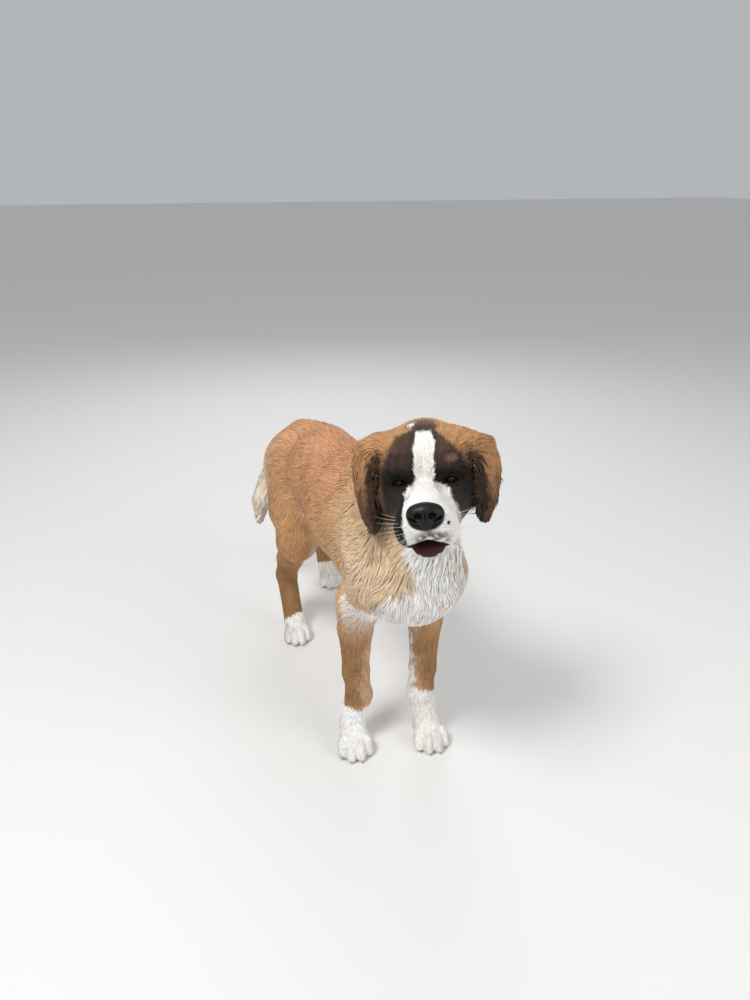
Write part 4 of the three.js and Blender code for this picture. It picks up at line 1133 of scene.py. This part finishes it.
# The roots are spread over the skin's triangles so that each kind of coat has its number of layers,
# and thin out to none at the lids, the lips, the nose and under the soles
COVERED = 0.55
rings = [tuple(face.vertices) for face in skin_mesh.polygons]
first_halves = [ring[:3] for ring in rings]
second_halves = [(ring[0], ring[2], ring[3]) for ring in rings if len(ring) == 4]
triangles = np.array(first_halves + second_halves)
skin_normals = unit(slope_of(skin_at, skin_points, sampled(skin_at, skin_points)))
corner = skin_points[triangles]
crossed = np.cross(corner[:, 1] - corner[:, 0], corner[:, 2] - corner[:, 0])
triangle_area = np.sqrt((crossed ** 2).sum(1)) / 2
skin_shares = region_shares(found[:, :-1])
skin_local = to_head(skin_points)
skin_growth = growth_at(skin_points, skin_local, skin_shares)
bare = np.maximum(smooth(4.5, 2.5, between_lids(skin_local)) * (skin_local[:, 1] < 20),
                  smooth(4.0, 1.5, found[:, -1]))
bare = np.maximum(bare, nose_room(skin_local) < 1.02)
bare = np.maximum(bare, skin_points[:, 2] < 3)
tuft_area = COVERED * skin_growth[:, LENGTH] * skin_growth[:, WIDTH]
density = skin_growth[:, LAYERS] / tuft_area * (1 - bare)
expected = triangle_area * density[triangles].mean(1)
tuft_count = int(expected.sum())
places = (np.arange(tuft_count) + rng.uniform(0, 1, tuft_count)) * expected.sum() / tuft_count
drawn = np.sort(np.searchsorted(np.cumsum(expected), places))
drawn = np.minimum(drawn, len(triangles) - 1)
u, v = rng.uniform(0, 1, (2, tuft_count))
over = u + v > 1
u, v = np.where(over, 1 - u, u), np.where(over, 1 - v, v)
share = np.stack([1 - u - v, u, v], 1)


def at_roots(values):
    """What the skin's corner points hold, read at the roots"""
    return (values[triangles[drawn]] * share[:, :, None]).sum(1)


root = at_roots(skin_points)
normal = unit(at_roots(skin_normals))
root_found = at_roots(found)
root_local = to_head(root)
root_shares = region_shares(root_found[:, :-1])
grown = growth_at(root, root_local, root_shares)
lie = lie_at(root, root_local, root_shares)
root_value = coat_reader(root)
on_body = 1 - root_shares[:, HEAD_PLACE] - root_shares[:, JAW_PLACE]
swirl = drift(root, 42, 51) * 0.42 * on_body + drift(root, 14, 52) * 0.12
swirl += rng.normal(0, 0.1, tuft_count)
lie = unit(lie + np.cross(normal, lie) * swirl[:, None])
length = grown[:, LENGTH] * rng.uniform(0.78, 1.18, tuft_count)
width = grown[:, WIDTH] * rng.uniform(0.75, 1.2, tuft_count)
thick = grown[:, THICK] * rng.uniform(0.8, 1.2, tuft_count)
past = coat_reader(root + lie * length[:, None]) - root_value
length = length * mix(1, 0.5, smooth(7, 22, past))
ripple = drift(root, 30, 53) * 0.7 + drift(root, 12, 54) * 0.4
tip = grown[:, LIFT] * (0.4 + ripple + rng.normal(0.2, 0.3, tuft_count))
layer = rng.uniform(0.25, 1.0, tuft_count) ** 0.7
tip = mix(root_value, tip, layer)
MOST_SEEN = 0.4
shown = root + lie * (length * MOST_SEEN)[:, None]
tuft_colour = marking_at(shown, sampled(flesh_at, shown)[1])
tuft_colour = tuft_colour * rng.uniform(0.84, 1.14, tuft_count)[:, None]
# A few tufts get a little grey added to their colour, a painted sheen that shows on dark fur
tuft_colour += (rng.uniform(0, 1, tuft_count) ** 3)[:, None] * np.array((0.008, 0.007, 0.007))

# The coat is unwrapped to one square tile for each of six facings of each part of the body, and each
# tuft is a small patch there, at its root's place
COAT_PARTS = ["trunk", "neck", "tail", "head", "ear_left", "ear_right", "fore_right", "fore_left",
              "hind_right", "hind_left"]


def part_of(name):
    return {"jaw": "head"}.get(name, name.removesuffix("_paw"))


TILES = 8
TILE_EDGE = 0.04
PATCH = 0.003
part_index = np.array([COAT_PARTS.index(part_of(name)) for name in COATED])
root_region = root_shares.argmax(1)
root_part = part_index[root_region]
facing_axis = np.abs(normal).argmax(1)
facing = facing_axis * 2 + (normal[np.arange(tuft_count), facing_axis] > 0)
tile = root_part * 6 + facing
tile_at = np.stack([tile % TILES, tile // TILES], 1) / TILES
spread_axes = np.array(((1, 2), (0, 2), (0, 1)))[facing_axis]
flat = np.take_along_axis(root, spread_axes, 1)
for part in range(len(COAT_PARTS)):
    here = root_part == part
    low, high = root[here].min(0), root[here].max(0)
    flat[here] = (flat[here] - low[spread_axes[here]]) / (high - low).max()
atlas_at = tile_at + (flat * (1 - 2 * TILE_EDGE) + TILE_EDGE) / TILES

# Each tuft shows its single hairs as fine lighter and darker lines along it
coat_finish = Finish("SaintBernardCoat", Roughness=0.75, Specular_IOR_Level=0.16)
along_hair = coat_finish.node("UVMap", {"uv_map": "Strand"}, {}, "UV")
hairs = coat_finish.node("TexNoise", {"noise_dimensions": "2D"},
                         {"Vector": along_hair, "Scale": 1.0, "Detail": 2.0}, "Fac")
coat_finish.shows_marking(hairs * 1.2 + 0.42)
coat_finish.raised_by(hairs, 0.2, 0.001)
PIECE_LIMIT = 190000


def coat_piece(name, chosen, slot, rings):
    """One piece of coat from the chosen tufts"""
    count = len(chosen)
    risen = np.interp(np.linspace(0, 1, rings + 1), (0, 0.4, 1), (0, 0.78, 1))
    heights = [mix(root_value[chosen], tip[chosen], share) for share in risen]
    bend = rng.normal(0, 0.10, count)
    points, normals, faces, along, cross = blades(
        root[chosen], normal[chosen], lie[chosen], length[chosen], width[chosen], thick[chosen],
        heights, bend, rings)
    mesh = mesh_of(name, points, faces)
    size = len(along)
    # Along each tuft the colour is darker at the root, a painted shade where the tufts cover each other,
    # and a little paler at the tip
    shade = np.tile(np.interp(along, (0, 0.4, 1), (0.94, 1.0, 1.05)), count)
    coloured(mesh, np.clip(np.repeat(tuft_colour[chosen], size, 0) * shade[:, None], 0.001, 0.95))
    cross, along = np.tile(cross, count), np.tile(along, count)
    patch = np.stack([cross, along - 0.5], 1) * PATCH + np.repeat(atlas_at[chosen], size, 0)
    turn = np.repeat(rng.uniform(0, 60, count), size)
    hair = np.stack([cross * 7 + turn, along * 1.6 + turn * 1.7], 1)
    for layer, values in (("OFBake", patch), ("Strand", hair)):
        uv = mesh.uv_layers.new(name=layer)
        uv.data.foreach_set("uv", values[faces.ravel()].astype(np.float32).ravel())
    mesh.normals_split_custom_set_from_vertices(normals)
    set_down(name, mesh, coat_finish, slot)


# Each piece of coat: the regions that it covers, its slot, and the rings of a tuft
COAT_GROUPS = {
    "CoatBack": (["trunk"], "coat_back", 3),
    "CoatNeck": (["neck"], "coat_neck", 3),
    "CoatTail": (["tail"], "coat_tail", 4),
    "CoatHead": (["head", "jaw"], "coat_head", 2),
    "CoatEarLeft": (["ear_left"], "coat_ears", 3),
    "CoatEarRight": (["ear_right"], "coat_ears", 3),
    "CoatForelegs": (["fore_right", "fore_left"], "coat_legs", 3),
    "CoatHindlegs": (["hind_right", "hind_left"], "coat_legs", 3),
    "CoatFeet": ([name + "_paw" for name in FEET], "coat_feet", 2),
}
for name, (members, slot, rings) in COAT_GROUPS.items():
    chosen = np.flatnonzero(np.isin(root_region, [REGIONS.index(m) for m in members]))
    chosen = chosen[np.argsort(root[chosen, 1])]
    tuft_faces = 1 + 6 * (rings - 1) + 3
    pieces = int(np.ceil(len(chosen) * tuft_faces / PIECE_LIMIT))
    for i, run in enumerate(np.array_split(chosen, pieces)):
        label = name if pieces == 1 else f"{name}{i + 1}"
        coat_piece(label, run, slot, rings)
set_down("Skin", skin_mesh, skin_finish, "coat_back", *FLESH_NODES)

# Eyes. Each is a glass eye: a clear domed front over a brown iris and a dark pupil, set behind the
# lids and looking ahead and a little down.
EYE_RADIUS = 12.3
GAZE = unit(np.array((0.0, -1.0, -0.12)))
BULGE = 0.07
IRIS = paint("22120a")
IRIS_RIM = paint("120a07")
EYE_WHITE = paint("6a5148")
PUPIL = paint("050404")
eye_finish = Finish("GlassEye", Roughness=0.15, Specular_IOR_Level=0.25, Coat_Weight=0.3,
                    Coat_Roughness=0.03)
eye_finish.shows("Base Color", eye_finish.marking())
for name, side in (("left", 1), ("right", -1)):
    ball = bmesh.new()
    bmesh.ops.create_uvsphere(ball, u_segments=56, v_segments=40, radius=1)
    bmesh.ops.triangulate(ball, faces=ball.faces)
    mesh = bpy.data.meshes.new("Eye" + name.capitalize())
    ball.to_mesh(mesh)
    ball.free()
    way = mesh_points(mesh)
    off = np.degrees(np.arccos(np.clip(way @ GAZE, -1, 1)))
    bulge = 1 + BULGE * smooth(38, 8, off)
    local = way * (EYE_RADIUS * bulge)[:, None] + (side * EYE_SPREAD, EYE_DEPTH, 0)
    mesh.vertices.foreach_set("co", from_head(local).astype(np.float32).ravel())
    mesh.shade_smooth()
    colour = tinted(plain(IRIS, way), IRIS_RIM, smooth(30, 36, off))
    colour = tinted(colour, EYE_WHITE, smooth(38, 46, off))
    coloured(mesh, tinted(colour, PUPIL, smooth(17, 14, off)))
    set_down("Eye" + name.capitalize(), mesh, eye_finish, "eye", "eye_" + name)


def form_mesh(name, f, low, high, step):
    """The net of a form that is given in the head's own frame"""
    lines = [np.arange(a, b + step, step) for a, b in zip(low, high)]
    grid = np.stack(np.meshgrid(*lines, indexing="ij"), -1).reshape(-1, 3)
    values = sampled(f, grid).reshape([len(line) for line in lines])
    points, faces = net_of(values, lines)
    for turn in range(2):
        value = sampled(f, points)
        slope = slope_of(f, points, value, 0.1)
        step = np.clip(value, -0.6, 0.6) / np.maximum((slope * slope).sum(1), 0.2)
        points = points - step[:, None] * slope
    return mesh_of(name, from_head(points), faces)


# Nose. A pad of dark, moist leather with two commas for nostrils and a groove between them, pebbled
# all over.
nose_lump = blended([
    lump((0, -99, -26), (25, 16, 17), 8),
    *both_lumps((17, -97, -30), (13, 14, 14), 8),
    lump((0, -98, -44), (12, 12, 12), 8),
])
nostrils = blended([
    *both_lumps((11, -115, -28), (6.5, 11, 6), 3),
    *both_lumps((20, -108, -34), (8, 7, 3), 3, (0, -28, 0)),
    lump((0, -116, -36), (1.2, 6, 14), 2),
])
nose_mesh = form_mesh("Nose", lambda q: cut(nose_lump(q), nostrils(q), 2.5), (-36, -120, -62),
                      (36, -76, -4), 1.3)
nose_finish = Finish("NoseLeather", Roughness=0.5, Specular_IOR_Level=0.22, Coat_Weight=0.12,
                     Coat_Roughness=0.25)
pebbles = nose_finish.node("TexVoronoi", {}, {"Vector": nose_finish.object_place(), "Scale": 520.0},
                           "Distance")
nose_finish.shows_between(pebbles, (0.0, "1c1a1b"), (1.0, "070606"))
nose_finish.raised_by(1 - pebbles, 0.5, 0.0006)
set_down("Nose", nose_mesh, nose_finish, "nose_leather", "nose")

# Mouth. The tongue lies on the floor of the lower jaw behind a row of small front teeth between two
# canines, and shows at the parted lips.
tongue_mesh = form_mesh("Tongue", lump((0, -33, -81.5), (19, 46, 7), 8, (24, 0, 0))[0], (-24, -84, -112),
                        (24, 20, -50), 1.8)
tongue_finish = Finish("Tongue", Roughness=0.35, Coat_Weight=0.4, Coat_Roughness=0.2)
buds = tongue_finish.noise(Vector=tongue_finish.object_place(), Scale=700.0, Detail=2.0)
tongue_finish.shows_between(buds, (0.3, "a8565c"), (0.7, "cf858a"))
tongue_finish.raised_by(buds, 0.4, 0.0005)
set_down("Tongue", tongue_mesh, tongue_finish, "tongue", "tongue")


def horn(root, tip, radius, sag, sides=8, rings=6):
    """A round, curved, tapering spike: a tooth or a claw"""
    root, tip = np.array(root, float), np.array(tip, float)
    along = unit((tip - root)[None])[0]
    side = unit(np.cross(along, (0.3, 0.1, 1))[None])[0]
    up = np.cross(side, along)
    points = []
    for t in np.linspace(0, 1, rings, endpoint=False):
        centre = mix(root, tip, t) + np.array((0, 0, sag)) * 4 * t * (1 - t)
        for angle in np.linspace(0, 2 * np.pi, sides, endpoint=False):
            points.append(centre + (np.cos(angle) * side + np.sin(angle) * up) * radius * (1 - t) ** 0.7)
    points += [tip, root]
    last = len(points)
    faces = []
    for ring in range(rings - 1):
        for k in range(sides):
            a, b = ring * sides + k, ring * sides + (k + 1) % sides
            faces += [(a, b, b + sides), (a, b + sides, a + sides)]
    for k in range(sides):
        faces.append(((rings - 1) * sides + k, (rings - 1) * sides + (k + 1) % sides, last - 2))
        faces.append(((k + 1) % sides, k, last - 1))
    return np.array(points), np.array(faces)


def gathered(name, forms):
    """One mesh out of several forms"""
    points, faces, first = [], [], 0
    for p, f in forms:
        points.append(p)
        faces.append(f + first)
        first += len(p)
    return mesh_of(name, np.concatenate(points), np.concatenate(faces))


teeth = []
for x in (-13.5, -9.5, -5.8, -2, 2, 5.8, 9.5, 13.5):
    canine = abs(x) > 12
    y = -69 if canine else -74 + x * x * 0.03
    teeth.append(horn(from_head((x, y, -107)), from_head((x * 1.05, y - 2, -89 if canine else -96)),
                      3.6 if canine else 2.4, 0))
teeth_finish = Finish("Ivory", Roughness=0.3, Coat_Weight=0.5, Coat_Roughness=0.1)
teeth_finish.shows_between(teeth_finish.noise(Scale=160.0), (0.3, "d8cbb0"), (0.7, "f1ead8"))
set_down("Teeth", gathered("Teeth", teeth), teeth_finish, None)

# Claws. Sixteen blunt, curved claws of dark horn come out between the tufts of the toes and end just
# above the floor.
claws = []
for name in FEET:
    for dx, dy in TOES:
        start = in_paw(name, dx * 1.1, dy - 17, 13)
        end = in_paw(name, dx * 1.16, dy - 31, 3.5)
        claws.append(horn(start, end, 3.1, 1.6))
claws_finish = Finish("Horn", Roughness=0.38, Coat_Weight=0.2, Coat_Roughness=0.3)
claws_finish.shows_between(claws_finish.noise(Scale=220.0, Detail=3.0), (0.3, "7a6a5a"), (0.7, "b3a38e"))
set_down("Claws", gathered("Claws", claws), claws_finish, "coat_feet")

# Whiskers. Stiff white bristles stand out from the pads of the upper lip and curve back.
bristles = []
for side in (1, -1):
    for row in range(4):
        for k in range(4):
            start = np.array((side * (26 + 4 * k), -98 + 13 * k - row * 2, -46 - 8 * row))
            way = unit(np.array((side * 1.0, -0.35 + 0.3 * k, 0.12 - 0.22 * row)))
            far = start + way * (34 + 7 * k + 3 * row) * rng.uniform(0.8, 1.15)
            bristles.append(horn(from_head(start - way * 5), from_head(far), 0.42, -1.8, 3))
whiskers_finish = Finish("Bristle", Roughness=0.4)
whiskers_finish.shows("Base Color", (*paint("e9e4da"), 1))
set_down("Whiskers", gathered("Whiskers", bristles), whiskers_finish, "coat_head")
